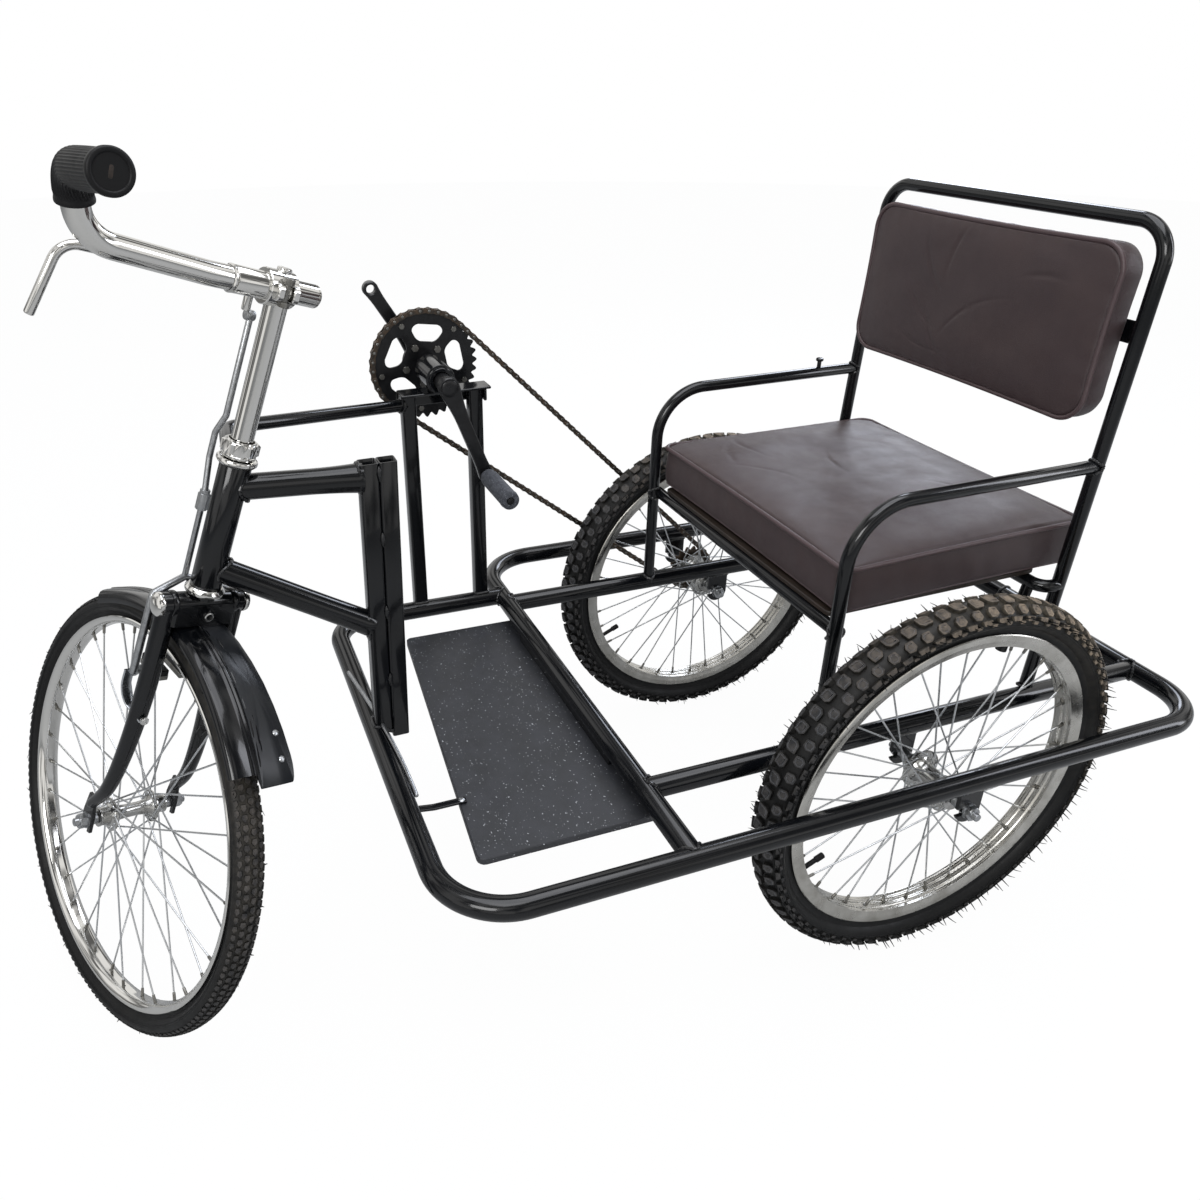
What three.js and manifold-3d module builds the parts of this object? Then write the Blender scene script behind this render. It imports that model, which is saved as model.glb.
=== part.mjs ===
// Adaptive tricycle driven by hand: tube chassis, two rear wheels, bicycle front end, chain drive.
// Millimetres, +Z up, -Y forward, +X to the rider's left. The chassis frame starts on the ground
// under the rear axle line, and the finished group is moved to the bottom centre of its box.

import * as THREE from 'three';
import { mergeVertices } from 'three/addons/utils/BufferGeometryUtils.js';
import Module from 'manifold-3d';

const wasm = await Module();
wasm.setup();

// Clearances
const weldGap = 0.3;
const runGap = 0.4;
const overrun = 4;
const mergeStep = 0.0005;

// Chassis rails
const railDiameter = 25.4;
const rearWheelRadius = 249;
const axlePlateRise = 42.2;
const railHeight = rearWheelRadius + axlePlateRise;
const railRiseShare = 0.0199;
const leftRailX = 337.4;
const rightRailX = -368.2;
const innerRailX = 224.2;
const frontRightRailX = -251.2;
const crossbarY = -361.5;
const headTopY = -731;
const headSetback = 112.8;
const frontCrossY = headTopY + headSetback;
const rearCrossY = 374;
const frontLeftBend = 78;
const frontRightBend = 56;
const rearBend = 70;
const crossbarBend = 85;

// Axle plates and rear axles
const plateThickness = 5;
const plateWidth = 34;
const axleDiameter = 9.5;
const slotClearance = 0.3;
const nutAcross = 17;
const nutLength = 8;
const coneDiameter = 16;
const axleTail = 7;

// Rear wheels
const rearWheelX = 283.4;
const rearTyreWidth = 48;
const rearRimRadius = 209;
const rearRimWidth = 30;
const rearFlangeRadius = 26;
const rearFlangeX = 24;
const rearHubHalf = 36;

// Front wheel
const frontWheelRadius = 256;
const frontTyreWidth = 35;
const frontRimRadius = 229;
const frontRimWidth = 25;
const frontFlangeRadius = 19;
const frontFlangeX = 24;
const frontHubHalf = 40;

// Parts that all wheels share
const rimWall = 2.4;
const rimDepth = 17;
const barrelDiameter = 27;
const flangeThickness = 3.4;
const bossDiameter = 20;
const spokeDiameter = 2.1;
const spokeHoleOffset = 2;
const flangeLip = 4;

// Head and steering
const headX = 18;
const headTopZ = 663;
const headAngle = THREE.MathUtils.degToRad(21);
const steerAngle = THREE.MathUtils.degToRad(-66);
const headLength = 136;
const headDiameter = 32;
const headWall = 2.6;
const steererDiameter = 25.4;
const steererBore = 23;
const steererTop = 20;
const steererBottom = -147;
const quillDepth = 60;
const cupDiameter = 41;
const cupHeight = 7.4;
const lockNutAcross = 33;
const lockNutHeight = 13;
const lockWasherHeight = 4;
const forkRake = 36;

// Fork
const crownDrop = 156;
const crownHalf = 53;
const crownDiameter = 24;
const crownBoxHalf = 46;
const crownBoxDepth = 26;
const crownBoxDrop = 22;
const bladeX = 46;
const bladeFootX = 50;
const bladeDiameter = 21;
const bladeFootShare = 0.62;
const bladeLift = 24;
const dropoutThickness = 4;
const dropoutWidth = 22;
const dropoutReach = 13;
const crownBoltAcross = 13;
const crownBoltLength = 8;

// Mudguard
const mudguardRadius = 283;
const mudguardHalf = 30;
const mudguardThickness = 1.6;
const mudguardSkirt = 8;
const mudguardRib = 1.8;
const mudguardRear = THREE.MathUtils.degToRad(43);
const mudguardFront = THREE.MathUtils.degToRad(118);

// Stem and handlebar
const barDiameter = 22.2;
const sleeveDiameter = 25.4;
const barHeight = 177;
const barRise = 5;
const stubReach = 38;
const sleeveStart = -12;
const sleeveEnd = 50;
const lugStart = -11;
const lugEnd = 19;
const lugDiameter = 34;
const lugBoltAcross = 10;
const lugBoltLength = 9;
const barElbowX = 186;
const gripElbowX = 206;
const gripElbowY = 8;
const gripElbowRise = 50;
const gripEndX = 222;
const gripEndY = 118;
const gripEndRise = 66;
const elbowBend = 40;
const gripBend = 30;
const gripDiameter = 33;
const gripCapDiameter = 38;
const gripCapLength = 8;
const gripStartShare = 0.52;

// Front brake
const leverY = -25;
const leverDrop = 5;
const leverDiameter = 8.6;
const leverArmX = 14;
const leverArmDrop = 26;
const leverElbowX = 190;
const leverTipX = 205;
const leverTipDrop = 63;
const leverBend = 20;
const leverArmBend = 8;
const leverBracketX = 27;
const leverBracketWidth = 14;
const leverBossDiameter = 18;
const pullRodX = 6;
const pullRodLowX = 9;
const pullRodY = -27;
const pullRodDiameter = 6.4;
const pullRodTop = 147;
const pullRodBelly = -34;
const adjusterTop = -44;
const adjusterBottom = -62;
const adjusterDiameter = 11;
const stirrupTop = -140;
const stirrupArmX = 44;
const stirrupArmY = -21;
const stirrupShoulder = -152;
const stirrupKnee = -232;
const stirrupDiameter = 6;
const shoeX = 13;
const shoeWidth = 12;
const shoeLength = 42;
const shoeHeight = 13;
const shoeGap = 7;
const guideHeight = 9;
const guideWall = 3;

// Frame tubes at the front
const frameTubeDiameter = 27;
const topTubeDropFront = 26;
const topTubeRearZ = 630;
const topTubeFlareShare = 1.22;
const downTubeDropFront = 114;
const downTubeRearZ = 452;
const postSize = 20;
const postWall = 1.8;
const postTopZ = 647;
const postSetback = 8.7;
const postFootY = frontCrossY + postSetback;
const postLeanShare = 0.027;
const rearPostFootZ = 291;

// Small round tubes and the crank stand
const smallTube = 16;
const braceCornerX = -150;
const braceCornerSetback = 3;
const braceCornerY = headTopY + braceCornerSetback;
const braceCornerZ = 646;
const braceBend = 26;
const braceRise = 612;
const bracePostInset = 6;
const crankPostX = -257.5;
const crankPostSize = 19;
const crankPostSetback = 130.6;
const crankPostPitch = 93;
const crankPostFrontY = frontCrossY + crankPostSetback;
const crankPostRearY = crankPostFrontY + crankPostPitch;
const crankPostTopZ = 626;
const crankY = -447;
const crankZ = 648;
const mountPlateWidth = 30;
const mountPlateThickness = 3.2;
const mountPlateOverhang = 10;
const mountLegDrop = 22;
const shellDiameter = 39;
const shellLeft = -229;
const shellRight = -297;
const cupRing = 6;
const spindleDiameter = 16;

// Crank, chain and sprocket
const chainPitch = 12.7;
const chainwheelTeeth = 36;
const sprocketTeeth = 18;
const chainX = -314.5;
const chainWidth = 7;
const chainHalf = 4.2;
const toothThickness = 2.4;
const toothRise = 2.8;
const toothRoot = 3.4;
const wheelRing = 15;
const spiderRadius = 24;
const windowCount = 5;
const windowShare = 0.68;
const leftArmX = -196;
const leftArmLength = 134;
const leftArmAngle = THREE.MathUtils.degToRad(-69.5);
const rightArmX = -343;
const rightArmLength = 118;
const rightArmAngle = THREE.MathUtils.degToRad(121.4);
const armThickness = 11;
const armRoot = 28;
const armNeck = 17;
const armEye = 21;
const eyeBore = 12;
const handleDiameter = 24;
const handleLength = 86;
const handlePinDiameter = 9;
const handleCollar = 4;

// Footboard
const boardLeft = 246;
const boardRight = -210;
const boardRearY = -371;
const boardLeftSetback = 54.2;
const boardRightSetback = 94.2;
const boardFrontLeftY = frontCrossY + boardLeftSetback;
const boardFrontRightY = frontCrossY + boardRightSetback;
const boardDrop = 20;
const boardThickness = 9;
const boardCorner = 8;
const strapX = 153;
const strapWidth = 9;
const strapThickness = 3;
const packingWidth = 22;
const packingHalf = 150;

// Rod wound over the front cross tube
const stayDiameter = 5;
const stayStartX = -100;
const stayEndX = 151;
const stayStartAngle = THREE.MathUtils.degToRad(33);
const stayEndAngle = THREE.MathUtils.degToRad(-85);

// Seat frame
const uprightX = 219;
const uprightBackY = 204.4;
const uprightBackZ = 601;
const uprightLeanShare = 0.0437;
const uprightTopZ = 864;
const uprightBend = 40;
const armrestZ = 600.3;
const armrestLegY = -130;
const armrestBend = 70;
const studY = 137;
const studDiameter = 6;
const studCap = 11;
const studHeight = 14;
const seatTubeZ = 446;
const seatFrontTubeY = -123;
const seatRearTubeY = 172;
const seatRearBend = 17;
const seatBoardInset = 12;
const seatBoardThickness = 6;
const stubX = 200;
const stubFootY = 154;
const stubFootZ = 350;
const stubDiameter = 14;

// Cushions
const seatSideGap = 11;
const seatHalf = uprightX - seatSideGap;
const seatFrontY = -115;
const seatRearY = 234;
const seatSeamZ = 518;
const seatCrown = 13;
const seatCorner = 26;
const pullIn = 4;
const seatRoll = 7;
const backLeft = 192;
const backRight = -188;
const backBottomZ = 655;
const backTopZ = 842;
const backFrontY = 170;
const backThickness = 42;
const backCorner = 34;
const backCrown = 8;
const backStrapWidth = 25;
const backStrapThickness = 3;

// Facets
const railSides = 12;
const headSides = 18;
const thinSides = 8;
const wheelSegments = 28;
const hubSegments = 12;
const bendStep = THREE.MathUtils.degToRad(22.5);
const quarter = Math.PI / 2;

const paint = { color: 0x0b0d12, roughness: 0.22, metalness: 0.1 };
const chrome = { color: 0xd2d6da, roughness: 0.12, metalness: 1 };
const zinc = { color: 0xa9adb0, roughness: 0.35, metalness: 1 };
const alloy = { color: 0xb9b9b4, roughness: 0.32, metalness: 1 };
const rubber = { color: 0x17181a, roughness: 0.85, metalness: 0 };
const leatherette = { color: 0x3a2b2b, roughness: 0.5, metalness: 0 };
const blackSteel = { color: 0x1b1c1e, roughness: 0.4, metalness: 0.6 };
const rustySteel = { color: 0x463c33, roughness: 0.6, metalness: 0.7 };
const boardFinish = { color: 0x3c3f47, roughness: 0.7, metalness: 0 };
const plywood = { color: 0x8a6d4a, roughness: 0.8, metalness: 0 };

const point = (x, y, z) => new THREE.Vector3(x, y, z);
const axisX = point(1, 0, 0);
const axisY = point(0, 1, 0);
const axisZ = point(0, 0, 1);
const railZ = (y) => railHeight - railRiseShare * y;
const onRail = (x, y) => point(x, y, railZ(y));
const uprightY = (z) => uprightBackY + uprightLeanShare * (z - uprightBackZ);

/** A path whose stations are its ends, its corners or the steps of its rounded bends. */
class BentPath extends THREE.Curve {
  constructor(points, bends, side, shares) {
    super();
    this.side = side;
    this.shares = shares;
    this.stations = [];
    const last = points.length - 1;
    const runs = points.slice(1).map((end, i) => end.clone().sub(points[i]).normalize());
    this.stations.push({ at: points[0].clone(), tangent: runs[0] });
    for (let i = 1; i < last; i += 1) {
      const into = runs[i - 1];
      const out = runs[i];
      const bend = bends[i - 1] ?? 0;
      if (bend === 0) {
        this.stations.push({ at: points[i].clone(), tangent: into.clone().add(out).normalize() });
        continue;
      }
      const turn = into.angleTo(out);
      const inward = out.clone().addScaledVector(into, -out.dot(into)).normalize();
      const start = points[i].clone().addScaledVector(into, -bend * Math.tan(turn / 2));
      const steps = Math.ceil(turn / bendStep);
      for (let k = 0; k <= steps; k += 1) {
        const angle = (turn * k) / steps;
        const at = start.clone().addScaledVector(into, bend * Math.sin(angle));
        at.addScaledVector(inward, bend * (1 - Math.cos(angle)));
        const tangent = into.clone().multiplyScalar(Math.cos(angle));
        tangent.addScaledVector(inward, Math.sin(angle));
        this.stations.push({ at, tangent });
      }
    }
    this.stations.push({ at: points[last].clone(), tangent: runs[last - 1] });
  }

  station(share) {
    return this.stations[Math.round(share * (this.stations.length - 1))];
  }

  getPoint(share) {
    return this.station(share).at.clone();
  }

  getPointAt(share) {
    return this.station(share).at.clone();
  }

  getTangentAt(share) {
    return this.station(share).tangent.clone();
  }

  computeFrenetFrames() {
    const frames = { tangents: [], normals: [], binormals: [] };
    this.stations.forEach(({ tangent }, i) => {
      const share = this.shares[i] ?? 1;
      const normal = this.side.clone().addScaledVector(tangent, -this.side.dot(tangent)).normalize();
      const binormal = tangent.clone().cross(normal);
      frames.tangents.push(tangent);
      frames.normals.push(normal.multiplyScalar(share));
      frames.binormals.push(binormal.multiplyScalar(share));
    });
    return frames;
  }
}

/** The geometry with only its positions left, merged, and its faces turned outward. */
function closed(source) {
  const bare = new THREE.BufferGeometry();
  bare.setAttribute('position', source.getAttribute('position').clone());
  if (source.index) {
    bare.setIndex(source.index.clone());
  }
  const merged = mergeVertices(bare, mergeStep);
  const at = merged.getAttribute('position');
  const index = Array.from(merged.index.array);
  const kept = [];
  const corners = [point(0, 0, 0), point(0, 0, 0), point(0, 0, 0)];
  let volume = 0;
  for (let i = 0; i < index.length; i += 3) {
    const [a, b, c] = index.slice(i, i + 3);
    if (a !== b && b !== c && c !== a) {
      kept.push(a, b, c);
      [a, b, c].forEach((vertex, k) => corners[k].fromBufferAttribute(at, vertex));
      volume += corners[0].dot(corners[1].cross(corners[2]));
    }
  }
  if (volume < 0) {
    for (let i = 0; i < kept.length; i += 3) {
      [kept[i], kept[i + 1]] = [kept[i + 1], kept[i]];
    }
  }
  merged.setIndex(kept);
  return merged;
}

function toSolid(geometry) {
  const clean = closed(geometry);
  const vertProperties = new Float32Array(clean.getAttribute('position').array);
  const triVerts = new Uint32Array(clean.index.array);
  return new wasm.Manifold(new wasm.Mesh({ numProp: 3, vertProperties, triVerts }));
}

function toGeometry(solid) {
  const mesh = solid.getMesh();
  const geometry = new THREE.BufferGeometry();
  geometry.setAttribute('position', new THREE.BufferAttribute(mesh.vertProperties, 3));
  geometry.setIndex(new THREE.BufferAttribute(mesh.triVerts, 1));
  return closed(geometry);
}

function join(...pieces) {
  return toGeometry(pieces.map(toSolid).reduce((sum, piece) => sum.add(piece)));
}

function cut(body, ...tools) {
  return toGeometry(tools.map(toSolid).reduce((rest, tool) => rest.subtract(tool), toSolid(body)));
}

function common(body, tool) {
  return toGeometry(toSolid(body).intersect(toSolid(tool)));
}

const moved = (geometry, matrix) => geometry.clone().applyMatrix4(matrix);

/** Outline of a round section, with a flat facet on its sides. */
function roundSection(radius, sides) {
  const turn = Math.PI / sides;
  return Array.from({ length: sides }, (_, i) => {
    const angle = turn + (2 * Math.PI * i) / sides;
    return new THREE.Vector2(radius * Math.cos(angle), radius * Math.sin(angle));
  });
}

function sweep(section, points, bends = [], side = axisX, shares = []) {
  const path = new BentPath(points, bends, side, shares);
  const steps = path.stations.length - 1;
  const settings = { steps, extrudePath: path, bevelEnabled: false, curveSegments: 1 };
  return closed(new THREE.ExtrudeGeometry(new THREE.Shape(section), settings));
}

function tube(diameter, points, { bends = [], side = axisX, sides = railSides, shares = [], grow = 0 } = {}) {
  const radius = grow > 0 ? (diameter / 2 + grow) / Math.cos(Math.PI / sides) : diameter / 2;
  return sweep(roundSection(radius, sides), points, bends, side, shares);
}

function rodAlongX(diameter, start, end, y = 0, z = 0, sides = railSides) {
  const length = Math.abs(end - start);
  const rod = new THREE.CylinderGeometry(diameter / 2, diameter / 2, length, sides);
  return rod.rotateZ(-quarter).translate((start + end) / 2, y, z);
}

function rodAlongY(diameter, start, end, x = 0, z = 0, sides = railSides) {
  const length = Math.abs(end - start);
  const rod = new THREE.CylinderGeometry(diameter / 2, diameter / 2, length, sides);
  return rod.translate(x, (start + end) / 2, z);
}

function rodAlongZ(diameter, start, end, x = 0, y = 0, sides = railSides) {
  const length = Math.abs(end - start);
  const rod = new THREE.CylinderGeometry(diameter / 2, diameter / 2, length, sides);
  return rod.rotateX(quarter).translate(x, y, (start + end) / 2);
}

function block(low, high) {
  const size = high.clone().sub(low);
  const middle = low.clone().add(high).multiplyScalar(1 / 2);
  return new THREE.BoxGeometry(size.x, size.y, size.z).translate(middle.x, middle.y, middle.z);
}

/** A flat plate: an outline of [y, z] pairs, between two places along X. */
function plateAlongX(outline, start, end, holes = []) {
  const shape = new THREE.Shape(outline.map(([y, z]) => new THREE.Vector2(y, z)));
  shape.holes = holes.map((hole) => new THREE.Path(hole.map(([y, z]) => new THREE.Vector2(y, z))));
  const depth = Math.abs(end - start);
  const plate = new THREE.ExtrudeGeometry(shape, { depth, bevelEnabled: false, curveSegments: 1 });
  plate.applyMatrix4(new THREE.Matrix4().makeBasis(axisY, axisZ, axisX));
  return closed(plate.translate(Math.min(start, end), 0, 0));
}

/** A turned piece about the X axis, from a profile of [x, radius] pairs that closes on itself. */
function turned(profile, segments = wheelSegments) {
  const points = [...profile, profile[0]].map(([x, radius]) => new THREE.Vector2(radius, x));
  return closed(new THREE.LatheGeometry(points, segments).rotateZ(-quarter).scale(-1, 1, 1));
}

/** A turned piece about the Z axis, from a profile of [radius, z] pairs that closes on itself. */
function turnedUpright(profile, segments) {
  const points = [...profile, profile[0]].map(([radius, z]) => new THREE.Vector2(radius, z));
  return closed(new THREE.LatheGeometry(points, segments).rotateX(quarter));
}

/** Skin through rings of points, closed by a fan at each end. */
function loft(rings) {
  const count = rings[0].length;
  const middle = (ring) => ring.reduce((sum, at) => sum.add(at), point(0, 0, 0)).divideScalar(count);
  const places = [...rings.flat(), middle(rings[0]), middle(rings[rings.length - 1])];
  const index = [];
  for (let r = 0; r < rings.length - 1; r += 1) {
    for (let i = 0; i < count; i += 1) {
      const j = (i + 1) % count;
      const [a, b] = [r * count + i, r * count + j];
      index.push(a, b, b + count, a, b + count, a + count);
    }
  }
  const top = (rings.length - 1) * count;
  for (let i = 0; i < count; i += 1) {
    const j = (i + 1) % count;
    index.push(places.length - 2, j, i);
    index.push(places.length - 1, top + i, top + j);
  }
  const geometry = new THREE.BufferGeometry().setFromPoints(places);
  geometry.setIndex(index);
  return closed(geometry);
}

/** Points round a rectangle with rounded corners, as [u, v] pairs. */
function roundedOutline(low, high, corner, steps) {
  const places = [];
  const corners = [[high[0], low[1]], [high[0], high[1]], [low[0], high[1]], [low[0], low[1]]];
  corners.forEach(([u, v], k) => {
    const inU = u - Math.sign(u - (low[0] + high[0]) / 2) * corner;
    const inV = v - Math.sign(v - (low[1] + high[1]) / 2) * corner;
    for (let i = 0; i <= steps; i += 1) {
      const angle = (k - 1) * quarter + (quarter * i) / steps;
      places.push([inU + corner * Math.cos(angle), inV + corner * Math.sin(angle)]);
    }
  });
  return places;
}

const tricycle = new THREE.Group();
const chassis = new THREE.Group();
tricycle.add(chassis);

function addPiece(parent, name, geometry, finish) {
  const visible = geometry.toNonIndexed();
  visible.computeVertexNormals();
  const piece = new THREE.Mesh(visible, new THREE.MeshStandardMaterial(finish));
  piece.name = name;
  parent.add(piece);
}

// Chassis rails: one bent loop in two lengths, with the inner rails between them

const upright = { side: axisZ };
const frontLoop = [
  onRail(frontRightRailX, crossbarY),
  onRail(frontRightRailX, frontCrossY),
  onRail(leftRailX, frontCrossY),
  onRail(leftRailX, rearCrossY),
  onRail(weldGap / 2, rearCrossY),
];
const rearLoop = [
  onRail(-weldGap / 2, rearCrossY),
  onRail(rightRailX, rearCrossY),
  onRail(rightRailX, crossbarY),
  onRail(leftRailX, crossbarY),
];
const frontLoopBends = { ...upright, bends: [frontRightBend, frontLeftBend, rearBend] };
const rearLoopBends = { ...upright, bends: [rearBend, crossbarBend] };
const crossbarLine = [onRail(rightRailX + crossbarBend, crossbarY), onRail(0, crossbarY)];
const frontLoopRaw = tube(railDiameter, frontLoop, frontLoopBends);
const frontLoopGrown = tube(railDiameter, frontLoop, { ...frontLoopBends, grow: weldGap });
const rearLoopGrown = tube(railDiameter, rearLoop, { ...rearLoopBends, grow: weldGap });
const crossbarGrown = tube(railDiameter, crossbarLine, { ...upright, grow: weldGap });
const frontCrossGrown = tube(railDiameter, frontLoop.slice(1, 3), { ...upright, grow: weldGap });
addPiece(chassis, 'rail_front_left', cut(frontLoopRaw, crossbarGrown), paint);
addPiece(chassis, 'rail_right_cross', cut(tube(railDiameter, rearLoop, rearLoopBends), frontLoopGrown), paint);

const innerRails = [1, -1].map((side) => {
  const line = [onRail(side * innerRailX, crossbarY), onRail(side * innerRailX, rearCrossY)];
  const name = side > 0 ? 'rail_inner_left' : 'rail_inner_right';
  const rail = cut(tube(railDiameter, line, upright), frontLoopGrown, rearLoopGrown);
  addPiece(chassis, name, rail, paint);
  return tube(railDiameter, line, { ...upright, grow: weldGap });
});

// Axle plates: hooked plates under the rails, open to the front

const axleZ = rearWheelRadius;
const slotRadius = axleDiameter / 2 + slotClearance;
const plateHalf = plateWidth / 2;

function axlePlate(x) {
  const outline = [[-plateHalf, railHeight], [plateHalf, railHeight], [plateHalf, axleZ]];
  const steps = 6;
  for (let i = 1; i < steps; i += 1) {
    const angle = (-Math.PI * i) / steps;
    outline.push([plateHalf * Math.cos(angle), axleZ + plateHalf * Math.sin(angle)]);
  }
  outline.push([-plateHalf, axleZ - slotRadius]);
  for (let i = 0; i <= steps; i += 1) {
    const angle = -quarter + (Math.PI * i) / steps;
    outline.push([slotRadius * Math.cos(angle), axleZ + slotRadius * Math.sin(angle)]);
  }
  outline.push([-plateHalf, axleZ + slotRadius]);
  const rail = tube(railDiameter, [onRail(x, -plateWidth), onRail(x, plateWidth)], { ...upright, grow: weldGap });
  return cut(plateAlongX(outline, x - plateThickness / 2, x + plateThickness / 2), rail);
}

addPiece(chassis, 'axle_plate_left_outer', axlePlate(leftRailX), paint);
addPiece(chassis, 'axle_plate_left_inner', axlePlate(innerRailX), paint);
addPiece(chassis, 'axle_plate_right_inner', axlePlate(-innerRailX), paint);
addPiece(chassis, 'axle_plate_right_outer', axlePlate(rightRailX), paint);

/** A threaded axle with a nut outside each plate and a cone between each plate and the hub. */
function axle(inner, outer, hub, hubHalf, thickness, y, z) {
  const away = Math.sign(outer - inner);
  const faces = [[inner, -away], [outer, away]];
  const parts = [rodAlongX(axleDiameter, inner - away * (nutLength + axleTail), outer + away * (nutLength + axleTail), y, z, thinSides)];
  faces.forEach(([x, out]) => {
    const seat = x + out * (thickness / 2 + weldGap);
    parts.push(rodAlongX(nutAcross, seat, seat + out * nutLength, y, z, 6));
    const inside = x - out * (thickness / 2 + weldGap);
    parts.push(rodAlongX(coneDiameter, inside, hub + out * (hubHalf + runGap), y, z, thinSides));
  });
  return join(...parts);
}

addPiece(chassis, 'axle_left', axle(innerRailX, leftRailX, rearWheelX, rearHubHalf, plateThickness, 0, axleZ), zinc);
addPiece(chassis, 'axle_right', axle(-innerRailX, rightRailX, -rearWheelX, rearHubHalf, plateThickness, 0, axleZ), zinc);

// Footboard under the crossbar

const boardTop = (y) => railZ(y) - boardDrop;
const boardOutline = new THREE.Shape([
  new THREE.Vector2(boardRight, boardRearY),
  new THREE.Vector2(boardRight, boardFrontRightY + boardCorner),
  new THREE.Vector2(boardRight + boardCorner, boardFrontRightY),
  new THREE.Vector2(boardLeft - boardCorner, boardFrontLeftY),
  new THREE.Vector2(boardLeft, boardFrontLeftY + boardCorner),
  new THREE.Vector2(boardLeft, boardRearY),
]);
const boardTilt = new THREE.Matrix4().set(
  1, 0, 0, 0,
  0, 1, 0, 0,
  0, -railRiseShare, 1, railHeight - boardDrop - boardThickness,
  0, 0, 0, 1,
);
const footboard = new THREE.ExtrudeGeometry(boardOutline, { depth: boardThickness, bevelEnabled: false });
addPiece(chassis, 'footboard', closed(footboard.applyMatrix4(boardTilt)), boardFinish);

const boardShare = (strapX - boardRight) / (boardLeft - boardRight);
const boardSlantShare = (boardFrontRightY - boardFrontLeftY) / (boardLeft - boardRight);
const strapEdgeY = THREE.MathUtils.lerp(boardFrontRightY, boardFrontLeftY, boardShare);
const strapBoardY = strapEdgeY - weldGap - (boardSlantShare * strapWidth) / 2;
const strapSection = [
  new THREE.Vector2(-strapWidth / 2, -strapThickness / 2),
  new THREE.Vector2(strapWidth / 2, -strapThickness / 2),
  new THREE.Vector2(strapWidth / 2, strapThickness / 2),
  new THREE.Vector2(-strapWidth / 2, strapThickness / 2),
];
const strapRest = strapThickness / 2 + weldGap;
const strapPath = [
  point(strapX, frontCrossY, railZ(frontCrossY) - railDiameter / 2),
  point(strapX, (strapBoardY + frontCrossY) / 2 - packingWidth / 4, boardTop(strapBoardY) + strapRest),
  point(strapX, strapBoardY, boardTop(strapBoardY) + strapRest),
];
addPiece(chassis, 'footboard_strap', cut(sweep(strapSection, strapPath), frontCrossGrown), paint);

const packing = block(
  point(-packingHalf, boardRearY + weldGap, boardTop(crossbarY) + weldGap + railRiseShare * packingWidth),
  point(packingHalf, crossbarY + packingWidth / 2 - overrun, railZ(crossbarY)),
);
const crossbarFull = tube(railDiameter, rearLoop.slice(2), { ...upright, grow: weldGap });
addPiece(chassis, 'footboard_packing', cut(packing, crossbarFull), paint);

const stayRadius = railDiameter / 2 + weldGap + stayDiameter / 2;
const staySteps = 10;
const stayPath = Array.from({ length: staySteps + 1 }, (_, i) => {
  const share = i / staySteps;
  const angle = THREE.MathUtils.lerp(stayStartAngle, stayEndAngle, share);
  const x = THREE.MathUtils.lerp(stayStartX, stayEndX, share);
  return point(x, frontCrossY + stayRadius * Math.sin(angle), railZ(frontCrossY) + stayRadius * Math.cos(angle));
});

// Twin square posts, head tube and the tubes between them

const postLean = Math.atan(postLeanShare);
const postPitch = (postSize + weldGap) / Math.cos(postLean);

function leaningPost(footY, footZ) {
  const half = postSize / 2;
  const inner = half - postWall;
  const skew = new THREE.Matrix4().set(
    1, 0, 0, headX,
    0, 1, postLeanShare, footY - postLeanShare * railZ(frontCrossY),
    0, 0, 1, 0,
    0, 0, 0, 1,
  );
  const outer = block(point(-half, -half, footZ), point(half, half, postTopZ));
  const bore = block(point(-inner, -inner, railZ(frontCrossY) + railDiameter), point(inner, inner, postTopZ + overrun));
  return cut(moved(outer, skew), moved(bore, skew));
}

const rearPostFootY = postFootY + postPitch;
const postFront = cut(leaningPost(postFootY, railZ(frontCrossY)), frontCrossGrown);
const stay = tube(stayDiameter, stayPath, { side: axisX, sides: thinSides });
const postRear = cut(leaningPost(rearPostFootY, rearPostFootZ), frontCrossGrown);
addPiece(chassis, 'post_front', postFront, paint);
addPiece(chassis, 'post_rear', postRear, paint);
const postShadow = block(
  point(headX - postSize / 2 - weldGap, postFootY - postSize / 2 - weldGap, railZ(frontCrossY)),
  point(headX + postSize / 2 + weldGap, postFootY + postSize / 2 + weldGap, railZ(frontCrossY) + railDiameter),
);
addPiece(chassis, 'cross_tube_stay', cut(sweep(roundSection(stayDiameter / 2, thinSides), stayPath, [], axisZ), postShadow), paint);

const headFrame = new THREE.Matrix4().makeRotationX(-headAngle).setPosition(headX, headTopY, headTopZ);
const headBore = headDiameter / 2 - headWall;
const headTube = turnedUpright([[headBore, 0], [headDiameter / 2, 0], [headDiameter / 2, -headLength], [headBore, -headLength]], headSides);
const headGrown = moved(rodAlongZ(headDiameter + 2 * weldGap, -headLength, 0, 0, 0, headSides), headFrame);
addPiece(chassis, 'head_tube', closed(moved(headTube, headFrame)), paint);

function headPoint(x, y, along) {
  return point(x, y, along).applyMatrix4(headFrame);
}

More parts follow.
